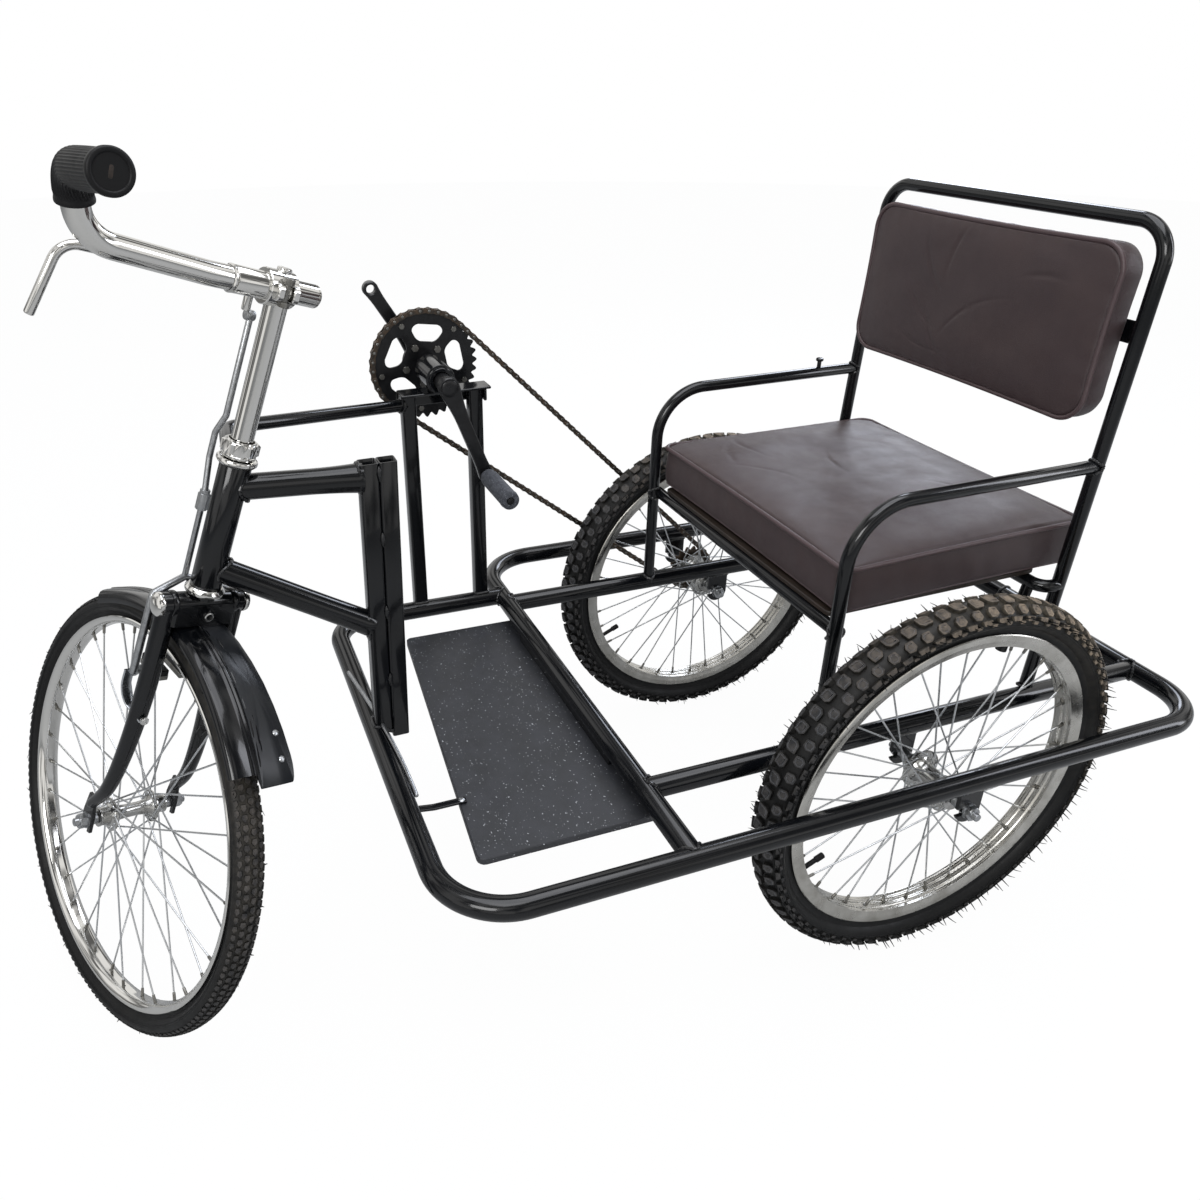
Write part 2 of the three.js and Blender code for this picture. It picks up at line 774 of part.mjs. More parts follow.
const postFaceY = (z) => postFootY - postSize / 2 + postLeanShare * (z - railZ(frontCrossY));
const topTubeEnd = point(headX, postFaceY(topTubeRearZ) - weldGap, topTubeRearZ);
const topTubeStart = headPoint(0, 0, -topTubeDropFront);
const flareStart = topTubeStart.clone().lerp(topTubeEnd, 0.6);
const topTube = tube(frameTubeDiameter, [topTubeStart, flareStart, topTubeEnd], { shares: [1, 1, topTubeFlareShare] });
const downTubeEnd = point(headX, postFaceY(downTubeRearZ) - weldGap, downTubeRearZ);
const downTube = tube(frameTubeDiameter, [headPoint(0, 0, -downTubeDropFront), downTubeEnd.clone().add(point(0, postSize / 2, -postSize / 2))]);
const postGrown = block(
  point(-postSize, -postSize / 2 - weldGap, railZ(frontCrossY)),
  point(postSize, postSize + weldGap, postTopZ + overrun),
).applyMatrix4(new THREE.Matrix4().set(
  1, 0, 0, headX,
  0, 1, postLeanShare, postFootY - postLeanShare * railZ(frontCrossY),
  0, 0, 1, 0,
  0, 0, 0, 1,
));
addPiece(chassis, 'top_tube', cut(topTube, headGrown, postGrown), paint);
addPiece(chassis, 'down_tube', cut(downTube, headGrown, postGrown), paint);

const cupBore = steererDiameter / 2 + runGap;
const cupRim = cupDiameter / 2;
const upperCup = turnedUpright([
  [cupBore, weldGap], [headDiameter / 2, weldGap], [cupRim, weldGap + cupHeight / 3],
  [cupRim, weldGap + cupHeight * 2 / 3], [cupBore, weldGap + cupHeight],
], headSides);
const lowerCup = turnedUpright([
  [cupBore, -headLength - weldGap], [headDiameter / 2, -headLength - weldGap],
  [cupRim, -headLength - weldGap - cupHeight / 3], [cupRim, -headLength - cupHeight], [cupBore, -headLength - cupHeight],
], headSides);
addPiece(chassis, 'head_cup_upper', closed(moved(upperCup, headFrame)), chrome);
addPiece(chassis, 'head_cup_lower', closed(moved(lowerCup, headFrame)), chrome);

// Crank stand on the right front rail, and the brace tube from it to the head tube

const rightFrontRailGrown = tube(railDiameter, [onRail(frontRightRailX, crossbarY), onRail(frontRightRailX, frontCrossY)], { ...upright, grow: weldGap });
const crankPostHalf = crankPostSize / 2;

function crankPost(y) {
  const outer = block(
    point(crankPostX - crankPostHalf, y - crankPostHalf, railZ(y)),
    point(crankPostX + crankPostHalf, y + crankPostHalf, crankPostTopZ),
  );
  return cut(outer, rightFrontRailGrown);
}

addPiece(chassis, 'crank_post_front', crankPost(crankPostFrontY), paint);
addPiece(chassis, 'crank_post_rear', crankPost(crankPostRearY), paint);

const mountBottom = crankPostTopZ + weldGap;
const mountRight = crankPostX - crankPostHalf - weldGap - mountPlateThickness;
const mountFront = crankPostFrontY - crankPostHalf - mountPlateOverhang / 4;
const mountRear = crankPostRearY + crankPostHalf + mountPlateOverhang;
const crankMount = cut(
  join(
    block(point(mountRight, mountFront, mountBottom), point(mountRight + mountPlateWidth, mountRear, mountBottom + mountPlateThickness)),
    block(point(mountRight, mountFront, mountBottom - mountLegDrop), point(mountRight + mountPlateThickness, mountRear, mountBottom + mountPlateThickness)),
    rodAlongX(shellDiameter, shellRight, shellLeft, crankY, crankZ, headSides),
    rodAlongX(shellDiameter - cupRing, shellRight - cupRing, shellLeft + cupRing, crankY, crankZ, headSides),
  ),
  rodAlongX(spindleDiameter + 2 * runGap, shellRight - cupRing - overrun, shellLeft + cupRing + overrun, crankY, crankZ, railSides),
);
addPiece(chassis, 'crank_mount', crankMount, paint);

const braceStart = point(crankPostX, crankPostFrontY, braceRise);
const braceCorner = point(braceCornerX, braceCornerY, braceCornerZ);
const braceAlong = (braceCornerZ - headTopZ) / Math.cos(headAngle);
const braceEnd = headPoint(0, 0, braceAlong);
const bracePost = block(
  point(crankPostX - crankPostHalf - smallTube, crankPostFrontY - crankPostHalf - weldGap, railZ(crankPostFrontY)),
  point(crankPostX + crankPostHalf + smallTube, crankPostRearY, crankPostTopZ + mountPlateWidth),
);
const braceTube = tube(smallTube, [braceStart, braceCorner, braceEnd], { bends: [braceBend], side: axisZ, sides: thinSides });
addPiece(chassis, 'brace_tube', cut(braceTube, bracePost, headGrown), paint);

// Seat frame

const seatSides = 10;
const uprightFootZ = railZ(uprightY(railHeight));
const uprightPath = [1, 1, -1, -1].map((side, i) => {
  const z = i === 0 || i === 3 ? uprightFootZ : uprightTopZ;
  return point(side * uprightX, uprightY(z), z);
});
const backrestOptions = { bends: [uprightBend, uprightBend], side: axisY, sides: seatSides };
const uprightsGrown = [1, -1].map((side) => tube(
  smallTube,
  [uprightFootZ, backTopZ - uprightBend].map((z) => point(side * uprightX, uprightY(z), z)),
  { side: axisX, sides: seatSides, grow: weldGap },
));
addPiece(chassis, 'backrest_frame', cut(tube(smallTube, uprightPath, backrestOptions), ...innerRails), paint);

const legsGrown = [];
[1, -1].forEach((side, i) => {
  const x = side * uprightX;
  const path = [
    point(x, uprightY(armrestZ), armrestZ),
    point(x, armrestLegY, armrestZ),
    point(x, armrestLegY, railZ(armrestLegY)),
  ];
  const options = { bends: [armrestBend], side: axisX, sides: seatSides };
  let armrest = cut(tube(smallTube, path, options), uprightsGrown[i], innerRails[i]);
  if (side < 0) {
    const stemTop = armrestZ + smallTube / 2 + studHeight;
    const stud = join(
      rodAlongZ(studDiameter, armrestZ, stemTop, x, studY, thinSides),
      rodAlongZ(studCap, stemTop - studDiameter, stemTop, x, studY, thinSides),
    );
    armrest = join(armrest, stud);
  }
  addPiece(chassis, side > 0 ? 'armrest_left' : 'armrest_right', armrest, paint);
  legsGrown.push(tube(smallTube, path.slice(1), { side: axisX, sides: seatSides, grow: weldGap }));
});

const frontSeatLine = [point(-uprightX, seatFrontTubeY, seatTubeZ), point(uprightX, seatFrontTubeY, seatTubeZ)];
addPiece(chassis, 'seat_front_tube', cut(tube(smallTube, frontSeatLine, { side: axisZ, sides: seatSides }), ...legsGrown), paint);

const seatUprightY = uprightY(seatTubeZ);
const rearSeatPath = [
  point(uprightX, seatUprightY, seatTubeZ),
  point(uprightX, seatRearTubeY, seatTubeZ),
  point(-uprightX, seatRearTubeY, seatTubeZ),
  point(-uprightX, seatUprightY, seatTubeZ),
];
const rearSeatTube = tube(smallTube, rearSeatPath, { bends: [seatRearBend, seatRearBend], side: axisZ, sides: seatSides });
const stub = tube(stubDiameter, [point(stubX, seatRearTubeY, seatTubeZ), point(stubX, stubFootY, stubFootZ)], { sides: thinSides });
addPiece(chassis, 'seat_rear_tube', cut(join(rearSeatTube, stub), ...uprightsGrown), paint);

const boardLow = seatTubeZ + smallTube / 2 + weldGap;
const seatBoard = block(
  point(-seatHalf + seatBoardInset, seatFrontTubeY - weldGap, boardLow),
  point(seatHalf - seatBoardInset, seatUprightY - smallTube, boardLow + seatBoardThickness),
);
addPiece(chassis, 'seat_board', seatBoard, plywood);

// Cushions: drawn in at the seams, full between them and crowned on top

const cornerSteps = 3;
const sideShares = [[1, 0], [0.25, 0.12], [0, 0.45], [0.2, 0.85], [1, 1]];
const rollShares = [[0.3, 0], [0.05, 0.08], [0.2, 0.36], [1, 0.55]];
const crownShares = [[0.16, 0.75], [0.36, 0.9], [0.66, 1]];

function cushion(low, high, corner, seamHeight, crown, roll) {
  const rings = sideShares.map(([inShare, upShare]) => {
    const inset = pullIn * inShare;
    const outline = roundedOutline([low[0] + inset, low[1] + inset], [high[0] - inset, high[1] - inset], corner, cornerSteps);
    return outline.map(([u, v]) => point(u, v, seamHeight * upShare));
  });
  const half = Math.min(high[0] - low[0], high[1] - low[1]) / 2;
  const insets = [...rollShares.map(([share]) => roll * share), ...crownShares.map(([share]) => half * share)];
  const lifts = [...rollShares, ...crownShares].map(([, upShare]) => upShare);
  insets.forEach((inset, i) => {
    const round = Math.min(corner + inset / 2, (half - inset) * 0.9);
    const upShare = lifts[i];
    const outline = roundedOutline([low[0] + inset, low[1] + inset], [high[0] - inset, high[1] - inset], round, cornerSteps);
    rings.push(outline.map(([u, v]) => point(u, v, seamHeight + weldGap + crown * upShare)));
  });
  return loft(rings);
}

const seatLow = boardLow + seatBoardThickness + weldGap;
const seatCushion = cushion([-seatHalf, seatFrontY], [seatHalf, seatRearY], seatCorner, seatSeamZ - seatLow, seatCrown, seatRoll);
seatCushion.translate(0, 0, seatLow);
addPiece(chassis, 'seat_cushion', seatCushion, leatherette);

const backHeight = backTopZ - backBottomZ;
const backFrame = new THREE.Matrix4().makeRotationX(quarter - Math.atan(uprightLeanShare));
const backBase = backFrontY + uprightLeanShare * (backBottomZ - uprightBackZ) + backThickness;
backFrame.setPosition(0, backBase, backBottomZ);
const backCushion = cushion([backRight, 0], [backLeft, backHeight], backCorner, backThickness - backCrown, backCrown - weldGap, seatRoll);
addPiece(chassis, 'backrest_cushion', closed(moved(backCushion, backFrame)), leatherette);

const strapMiddle = (backBottomZ + backTopZ) / 2;
const backStrap = block(
  point(-uprightX, weldGap, backHeight / 2 - backStrapWidth / 2),
  point(uprightX, weldGap + backStrapThickness, backHeight / 2 + backStrapWidth / 2),
);
const strapFrame = new THREE.Matrix4().makeRotationX(-Math.atan(uprightLeanShare)).setPosition(0, backBase, backBottomZ);
addPiece(chassis, 'backrest_strap', cut(moved(backStrap, strapFrame), ...uprightsGrown), paint);

// Wheels

/** Hub with two flanges and all its spokes, about the X axis. */
function hubWithSpokes(flangeRadius, flangeX, hubHalf, rimInner, bossRadius) {
  const bore = axleDiameter / 2 + runGap;
  const barrel = barrelDiameter / 2;
  const half = flangeThickness / 2;
  const profile = [
    [-hubHalf, bore], [-hubHalf, bossRadius], [-flangeX - half * 2, bossRadius],
    [-flangeX - half, flangeRadius], [-flangeX + half, flangeRadius], [-flangeX + half * 3, barrel],
    [flangeX - half * 3, barrel], [flangeX - half, flangeRadius], [flangeX + half, flangeRadius],
    [flangeX + half * 2, bossRadius], [hubHalf, bossRadius], [hubHalf, bore],
  ];
  const spokeCount = 36;
  const crossing = THREE.MathUtils.degToRad(60);
  const parts = [turned(profile, hubSegments)];
  for (let i = 0; i < spokeCount; i += 1) {
    const side = i % 2 ? 1 : -1;
    const lead = i % 4 < 2 ? 1 : -1;
    const rimAngle = (2 * Math.PI * i) / spokeCount;
    const hubAngle = rimAngle + lead * crossing;
    const root = flangeRadius - flangeLip;
    const tip = rimInner * Math.cos(Math.PI / wheelSegments) - weldGap;
    const start = point(side * (flangeX + lead * half), root * Math.cos(hubAngle), root * Math.sin(hubAngle));
    const end = point(side * spokeHoleOffset, tip * Math.cos(rimAngle), tip * Math.sin(rimAngle));
    parts.push(sweep(roundSection(spokeDiameter / 2, 3), [start, end]));
  }
  return join(...parts);
}

function rim(radius, width) {
  const half = width / 2;
  const inner = half - rimWall;
  const floor = radius - rimDepth;
  return turned([
    [-half, radius], [-half, floor + rimWall * 2], [-inner * 2 / 3, floor], [inner * 2 / 3, floor],
    [half, floor + rimWall * 2], [half, radius], [inner, radius], [inner, floor + rimWall * 3],
    [-inner, floor + rimWall * 3], [-inner, radius],
  ]);
}

/** Tyre section: [share of half the width, share of the height from the rim's edge]. */
const plumpShares = [[0.86, 0.12], [1, 0.5], [0.86, 0.86], [0.46, 1]];
const hollowShares = [[0.72, 0.66]];

function tyreProfile(radius, width, rimRadius, rimWidth) {
  const half = width / 2;
  const bead = rimWidth / 2 - rimWall - weldGap;
  const beadInner = bead - rimWall;
  const seat = rimRadius - rimDepth + rimWall * 3 + weldGap;
  const edge = rimRadius + weldGap;
  const height = radius - edge;
  const outer = plumpShares.map(([w, h]) => [half * w, edge + height * h]);
  const hollow = hollowShares.map(([w, h]) => [half * w, edge + height * h]);
  const right = [[beadInner, seat], [bead, seat], [bead, edge], ...outer];
  const mirrored = ([x, r]) => [-x, r];
  const left = [...right].reverse().map(mirrored);
  const inner = [[-beadInner, edge], ...hollow.map(mirrored), ...[...hollow].reverse(), [beadInner, edge]];
  return [...right, ...left, ...inner];
}

const rearTyre = tyreProfile(rearWheelRadius, rearTyreWidth, rearRimRadius, rearRimWidth);
const frontTyre = tyreProfile(frontWheelRadius, frontTyreWidth, frontRimRadius, frontRimWidth);

function toothedOutline(teeth, pitchRadius) {
  const outline = [];
  const levels = [[-0.28, -toothRoot], [0, toothRise], [0.28, -toothRoot]];
  for (let i = 0; i < teeth; i += 1) {
    levels.forEach(([share, rise]) => {
      const angle = (2 * Math.PI * (i + share)) / teeth;
      outline.push([(pitchRadius + rise) * Math.cos(angle), (pitchRadius + rise) * Math.sin(angle)]);
    });
  }
  return outline;
}

const pitchRadiusOf = (teeth) => chainPitch / (2 * Math.sin(Math.PI / teeth));
const chainwheelRadius = pitchRadiusOf(chainwheelTeeth);
const sprocketRadius = pitchRadiusOf(sprocketTeeth);
const threadDiameter = 30;

function addRearWheel(side, name) {
  const wheel = new THREE.Group();
  wheel.position.set(side * rearWheelX, 0, axleZ);
  chassis.add(wheel);
  addPiece(wheel, `${name}_tyre`, turned(rearTyre), rubber);
  addPiece(wheel, `${name}_rim`, rim(rearRimRadius, rearRimWidth), alloy);
  const hub = hubWithSpokes(rearFlangeRadius, rearFlangeX, rearHubHalf, rearRimRadius - rimDepth, threadDiameter / 2);
  addPiece(wheel, `${name}_hub`, hub, chrome);
  return wheel;
}

addRearWheel(1, 'left_wheel');
const rightWheel = addRearWheel(-1, 'right_wheel');
const sprocketX = chainX + rearWheelX;
const sprocketDisc = plateAlongX(
  toothedOutline(sprocketTeeth, sprocketRadius),
  sprocketX - toothThickness / 2,
  sprocketX + toothThickness / 2,
);
const sprocketBore = rodAlongX(threadDiameter + 2 * weldGap, sprocketX - overrun, sprocketX + overrun, 0, 0, 20);
addPiece(rightWheel, 'sprocket', cut(sprocketDisc, sprocketBore), rustySteel);

// Chain: one band round both toothed wheels, grooved for their teeth

const driveLine = new THREE.Vector2(-crankY, axleZ - crankZ);
const driveAngle = driveLine.angle();
const tangentLean = Math.asin((chainwheelRadius - sprocketRadius) / driveLine.length());

function chainOutline(offset) {
  const outline = [];
  const arc = (y, z, radius, from, to, steps) => {
    for (let i = 0; i <= steps; i += 1) {
      const angle = THREE.MathUtils.lerp(from, to, i / steps);
      outline.push([y + radius * Math.cos(angle), z + radius * Math.sin(angle)]);
    }
  };
  const upper = driveAngle + quarter - tangentLean;
  const lower = driveAngle - quarter + tangentLean;
  arc(crankY, crankZ, chainwheelRadius + offset, upper, lower + 2 * Math.PI, 30);
  arc(0, axleZ, sprocketRadius + offset, lower, upper, 12);
  return outline;
}

const chainBand = plateAlongX(chainOutline(chainHalf), chainX - chainWidth / 2, chainX + chainWidth / 2, [chainOutline(-chainHalf)]);
const grooveHalf = toothThickness / 2 + weldGap;
const groove = (radius, y, z) => rodAlongX(2 * (radius + toothRise + weldGap), chainX - grooveHalf, chainX + grooveHalf, y, z, 36);
const chain = cut(chainBand, groove(chainwheelRadius, crankY, crankZ), groove(sprocketRadius, 0, axleZ));
addPiece(chassis, 'chain', chain, rustySteel);

// Crank: spindle with the left arm and handle pin, chainwheel with the right arm

const crank = new THREE.Group();
crank.position.set(0, crankY, crankZ);
chassis.add(crank);

/** Tapered flat arm from the spindle to its eye, seen along X. */
function armOutline(length, angle) {
  const outline = [];
  const steps = 6;
  const root = armRoot / 2;
  const eye = armEye / 2;
  for (let i = 0; i <= steps; i += 1) {
    const turn = angle + quarter + (Math.PI * i) / steps;
    outline.push([root * Math.cos(turn), root * Math.sin(turn)]);
  }
  const along = (reach, across) => [
    reach * Math.cos(angle) - across * Math.sin(angle),
    reach * Math.sin(angle) + across * Math.cos(angle),
  ];
  outline.push(along(armRoot, -armNeck / 2));
  outline.push(along(length - armEye, -armNeck / 2));
  const centre = along(length, 0);
  for (let i = 0; i <= steps; i += 1) {
    const turn = angle - quarter + (Math.PI * i) / steps;
    outline.push([centre[0] + eye * Math.cos(turn), centre[1] + eye * Math.sin(turn)]);
  }
  outline.push(along(length - armEye, armNeck / 2));
  outline.push(along(armRoot, armNeck / 2));
  return outline;
}

const armHalf = armThickness / 2;
const leftEye = [leftArmLength * Math.cos(leftArmAngle), leftArmLength * Math.sin(leftArmAngle)];
const rightEye = [rightArmLength * Math.cos(rightArmAngle), rightArmLength * Math.sin(rightArmAngle)];
const spindleRight = rightArmX - armHalf - overrun / 2;
const sleeveNear = leftArmX + armHalf + handleCollar + weldGap;
const pinEnd = sleeveNear + handleLength - handlePinDiameter;
const leftCrank = join(
  rodAlongX(spindleDiameter, spindleRight, leftArmX + armHalf, 0, 0, railSides),
  plateAlongX(armOutline(leftArmLength, leftArmAngle), leftArmX - armHalf, leftArmX + armHalf),
  rodAlongX(handlePinDiameter * 2, leftArmX, leftArmX + armHalf + handleCollar, ...leftEye, railSides),
  rodAlongX(handlePinDiameter, leftArmX, pinEnd, ...leftEye, thinSides),
);
addPiece(crank, 'crank_left_arm', leftCrank, blackSteel);

const windowInner = chainwheelRadius - wheelRing;
const windows = Array.from({ length: windowCount }, (_, i) => {
  const middle = rightArmAngle + (2 * Math.PI * (i + 0.5)) / windowCount;
  const halfAngle = (Math.PI * windowShare) / windowCount;
  const steps = 4;
  const hole = [];
  for (let k = 0; k <= steps; k += 1) {
    const angle = middle - halfAngle + (2 * halfAngle * k) / steps;
    hole.push([windowInner * Math.cos(angle), windowInner * Math.sin(angle)]);
  }
  for (let k = 0; k <= 2; k += 1) {
    const angle = middle + halfAngle * (1 - k) * 0.7;
    hole.push([spiderRadius * Math.cos(angle), spiderRadius * Math.sin(angle)]);
  }
  return hole;
});
const wheelFace = chainX - toothThickness / 2;
const boltCircle = (windowInner + chainwheelRadius - toothRoot) / 2 - armHalf / 2;
const bolts = Array.from({ length: windowCount }, (_, i) => {
  const angle = rightArmAngle + (2 * Math.PI * i) / windowCount;
  const at = [boltCircle * Math.cos(angle), boltCircle * Math.sin(angle)];
  return rodAlongX(armHalf * 1.5, wheelFace + toothThickness / 2, wheelFace + toothThickness * 2, ...at, 6);
});
const rightCrank = cut(
  join(
    plateAlongX(toothedOutline(chainwheelTeeth, chainwheelRadius), wheelFace, chainX + toothThickness / 2, windows),
    rodAlongX(armRoot, rightArmX, wheelFace + toothThickness, 0, 0, railSides),
    plateAlongX(armOutline(rightArmLength, rightArmAngle), rightArmX - armHalf, rightArmX + armHalf),
    ...bolts,
  ),
  rodAlongX(spindleDiameter + 2 * weldGap, spindleRight - overrun, chainX + overrun * 2, 0, 0, railSides),
  rodAlongX(eyeBore, rightArmX - armThickness, rightArmX + armThickness, ...rightEye, railSides),
);
addPiece(crank, 'chainwheel', rightCrank, blackSteel);

const handleSleeve = cut(
  rodAlongX(handleDiameter, sleeveNear, sleeveNear + handleLength, ...leftEye, railSides),
  rodAlongX(handlePinDiameter + 2 * runGap, sleeveNear - overrun, pinEnd + runGap, ...leftEye, thinSides),
);
addPiece(crank, 'crank_handle', handleSleeve, rubber);

// Steering: everything here turns about the head tube

const steering = new THREE.Group();
steering.position.set(headX, headTopY, headTopZ);
steering.rotation.set(-headAngle, 0, steerAngle, 'XYZ');
chassis.add(steering);

const wheelLean = Math.sin(steerAngle) * Math.sin(headAngle);
const uprightShare = Math.sqrt(1 - wheelLean ** 2);
const frontAxleZ = Math.max(...frontTyre.map(([x, radius]) => Math.abs(x * wheelLean) + radius * uprightShare));
const rakeRise = forkRake * Math.cos(steerAngle) * Math.sin(headAngle);
const axleDrop = (headTopZ + rakeRise - frontAxleZ) / Math.cos(headAngle);
const hubPoint = point(0, -forkRake, -axleDrop);

const leverZ = barHeight - leverDrop;
const armPoint = (side) => point(side * stirrupArmX, stirrupArmY, stirrupShoulder);
const kneePoint = (side) => point(side * stirrupArmX, stirrupArmY, stirrupKnee);
const shoeBottom = -axleDrop + frontRimRadius - rimDepth - shoeGap - shoeHeight;
const stirrupFoot = (side) => point(side * (shoeX + shoeWidth), -forkRake, shoeBottom + shoeHeight / 2);
const stirrupEnd = (side) => point(side * (shoeX + shoeWidth / 4), -forkRake, shoeBottom + shoeHeight / 2);

function blade(side) {
  const spread = bladeFootX - bladeX;
  const path = [
    point(side * bladeX, 0, -crownDrop),
    point(side * bladeX, 0, -crownDrop - (axleDrop - crownDrop) / 3),
    point(side * (bladeX + spread / 4), -forkRake / 9, -crownDrop - (axleDrop - crownDrop) * 0.6),
    point(side * (bladeX + spread / 2), -forkRake / 2.4, -crownDrop - (axleDrop - crownDrop) * 0.8),
    point(side * bladeFootX, -forkRake, bladeLift - axleDrop),
  ];
  const shares = [1, 1, 0.88, 0.76, bladeFootShare];
  return tube(bladeDiameter, path, { sides: seatSides, shares });
}

function dropout(side) {
  const half = dropoutWidth / 2;
  const slot = axleDiameter / 2 + slotClearance;
  const outline = [
    [-half - forkRake, bladeLift - axleDrop], [-half - forkRake, -dropoutReach - axleDrop], [-slot - forkRake, -dropoutReach - axleDrop],
    [-slot - forkRake, -axleDrop], [-slot / 2 - forkRake, slot - axleDrop], [slot / 2 - forkRake, slot - axleDrop],
    [slot - forkRake, -axleDrop], [slot - forkRake, -dropoutReach - axleDrop], [half - forkRake, -dropoutReach - axleDrop],
    [half - forkRake, bladeLift - axleDrop],
  ];
  return plateAlongX(outline, side * bladeFootX - dropoutThickness / 2, side * bladeFootX + dropoutThickness / 2);
}

function guide(side) {
  const reach = stirrupDiameter / 2 + guideWall;
  return block(
    point(side * stirrupArmX - reach, stirrupArmY - reach, stirrupKnee + guideHeight * 2),
    point(side * stirrupArmX + reach, 0, stirrupKnee + guideHeight * 3),
  );
}

const mudguardTop = mudguardRadius + mudguardThickness / 2 + mudguardRib;
const spaceSegments = wheelSegments * 2;
const spaceDiameter = (2 * (mudguardTop + weldGap)) / Math.cos(Math.PI / spaceSegments);
const spaceHalf = mudguardHalf + runGap;
const mudguardSpace = rodAlongX(spaceDiameter, -spaceHalf, spaceHalf, -forkRake, -axleDrop, spaceSegments);
const crownBody = cut(
  block(point(-crownBoxHalf, -crownBoxDepth / 2, -crownDrop - crownBoxDrop), point(crownBoxHalf, crownBoxDepth / 2, -crownDrop)),
  mudguardSpace,
);
const guideBores = [1, -1].map((side) => rodAlongZ(
  stirrupDiameter + 2 * runGap,
  stirrupKnee,
  stirrupKnee + guideHeight * 4,
  side * stirrupArmX,
  stirrupArmY,
  thinSides,
));
const fork = cut(
  join(
    rodAlongZ(steererDiameter, -crownDrop, steererTop, 0, 0, headSides),
    crownBody,
    rodAlongX(crownDiameter, -crownHalf, crownHalf, 0, -crownDrop, railSides),
    rodAlongY(crownBoltAcross, 0, crownBoxDepth / 2 + crownBoltLength, 0, -crownDrop - crownBoltLength, 6),
    blade(1), blade(-1), dropout(1), dropout(-1), guide(1), guide(-1),
  ),
  rodAlongZ(steererBore, -quillDepth, steererTop + overrun, 0, 0, headSides),
  ...guideBores,
);
addPiece(steering, 'fork', fork, paint);

const nutLow = weldGap + cupHeight + runGap;
const lockNut = cut(
  join(
    rodAlongZ(lockNutAcross, nutLow, nutLow + lockWasherHeight, 0, 0, headSides),
    rodAlongZ(lockNutAcross / Math.cos(Math.PI / 6), nutLow + lockWasherHeight, nutLow + lockWasherHeight + lockNutHeight, 0, 0, 6),
  ),
  rodAlongZ(steererDiameter + 2 * weldGap, 0, nutLow + lockWasherHeight + lockNutHeight + overrun, 0, 0, headSides),
);
addPiece(steering, 'head_lock_nut', lockNut, chrome);

const lug = join(
  rodAlongZ(barDiameter, weldGap - quillDepth, barHeight, 0, 0, railSides),
  rodAlongX(lugDiameter, lugStart, lugEnd, 0, barHeight, railSides + 4),
  rodAlongZ(lugBoltAcross, barHeight - lugBoltLength, barHeight + lugBoltLength, 0, lugDiameter / 2, 6),
);
const lugBore = rodAlongX(sleeveDiameter + 2 * weldGap, lugStart - overrun, lugEnd + overrun, 0, barHeight, railSides);
addPiece(steering, 'stem', cut(lug, lugBore), chrome);

const barElbow = point(barElbowX, 0, barHeight + barRise);
const barShoulder = point(sleeveEnd + sleeveDiameter, 0, barHeight);
const gripElbow = point(gripElbowX, gripElbowY, barHeight + barRise + gripElbowRise);
const gripEnd = point(gripEndX, gripEndY, barHeight + gripEndRise + barRise);
const barEnd = gripElbow.clone().lerp(gripEnd, 0.94);
const barPath = [point(-stubReach, 0, barHeight), barShoulder, barElbow, gripElbow, barEnd];
const barBends = [0, elbowBend, gripBend];
const barOptions = { bends: barBends, side: point(0, 1, 1), sides: railSides };
const bracketEnd = leverBracketX + leverBracketWidth;
const handlebar = cut(
  join(
    tube(barDiameter, barPath, barOptions),
    rodAlongX(sleeveDiameter, sleeveStart, sleeveEnd, 0, barHeight, railSides),
    block(point(leverBracketX, leverY, leverZ - barDiameter / 4), point(bracketEnd, 0, leverZ + barDiameter / 4)),
    rodAlongX(leverBossDiameter, leverBracketX, bracketEnd, leverY, leverZ, railSides),
  ),
  rodAlongX(leverDiameter + 2 * runGap, leverBracketX - overrun, bracketEnd + overrun, leverY, leverZ, thinSides),
);
addPiece(steering, 'handlebar', handlebar, chrome);

const gripStart = barElbow.clone().lerp(gripElbow, gripStartShare);
const gripRun = gripEnd.clone().sub(gripElbow).normalize();
const capStart = gripEnd.clone().addScaledVector(gripRun, -gripCapLength);
const gripOptions = { bends: [gripBend * 0.85], side: point(0, 1, 1), sides: railSides };
const boreOptions = { bends: barBends, side: point(0, 1, 1), sides: railSides, grow: weldGap };
const boreEnd = barEnd.clone().addScaledVector(gripRun, runGap);
const grip = cut(
  join(
    tube(gripDiameter, [gripStart, gripElbow, gripEnd], { ...gripOptions, bends: [gripBend] }),
    tube(gripCapDiameter, [capStart, gripEnd], { side: point(0, 1, 1), sides: railSides }),
  ),
  tube(barDiameter, [...barPath.slice(0, -1), boreEnd], boreOptions),
);
addPiece(steering, 'grip', grip, rubber);

const arcSteps = 12;
const arcPoint = (angle) => point(0, mudguardRadius * Math.cos(angle) - forkRake, mudguardRadius * Math.sin(angle) - axleDrop);
const mudguardPath = Array.from({ length: arcSteps + 1 }, (_, i) => (
  arcPoint(THREE.MathUtils.lerp(mudguardRear, mudguardFront, i / arcSteps))
));
/** Mudguard section: [share of half the width, share of the skirt, share of the rib]. */
const skirtShares = [[1, 1, 0], [0.93, 0.45, 0], [0.72, 0.1, 0], [0.34, 0, 0], [0.2, 0, 1], [0.08, 0, 0]];
const skin = skirtShares.map(([w, h, rib]) => [mudguardHalf * w, mudguardSkirt * h - mudguardRib * rib]);
const outerSkin = [...skin, ...[...skin].reverse().map(([w, h]) => [-w, h])];
const innerSkin = [...outerSkin].reverse().map(([w, h]) => [w * (1 - mudguardThickness / mudguardHalf), h + mudguardThickness]);
const mudguardSection = [...outerSkin, ...innerSkin].map(([w, h]) => new THREE.Vector2(w, mudguardThickness / 2 - h));
addPiece(steering, 'mudguard', sweep(mudguardSection, mudguardPath), paint);

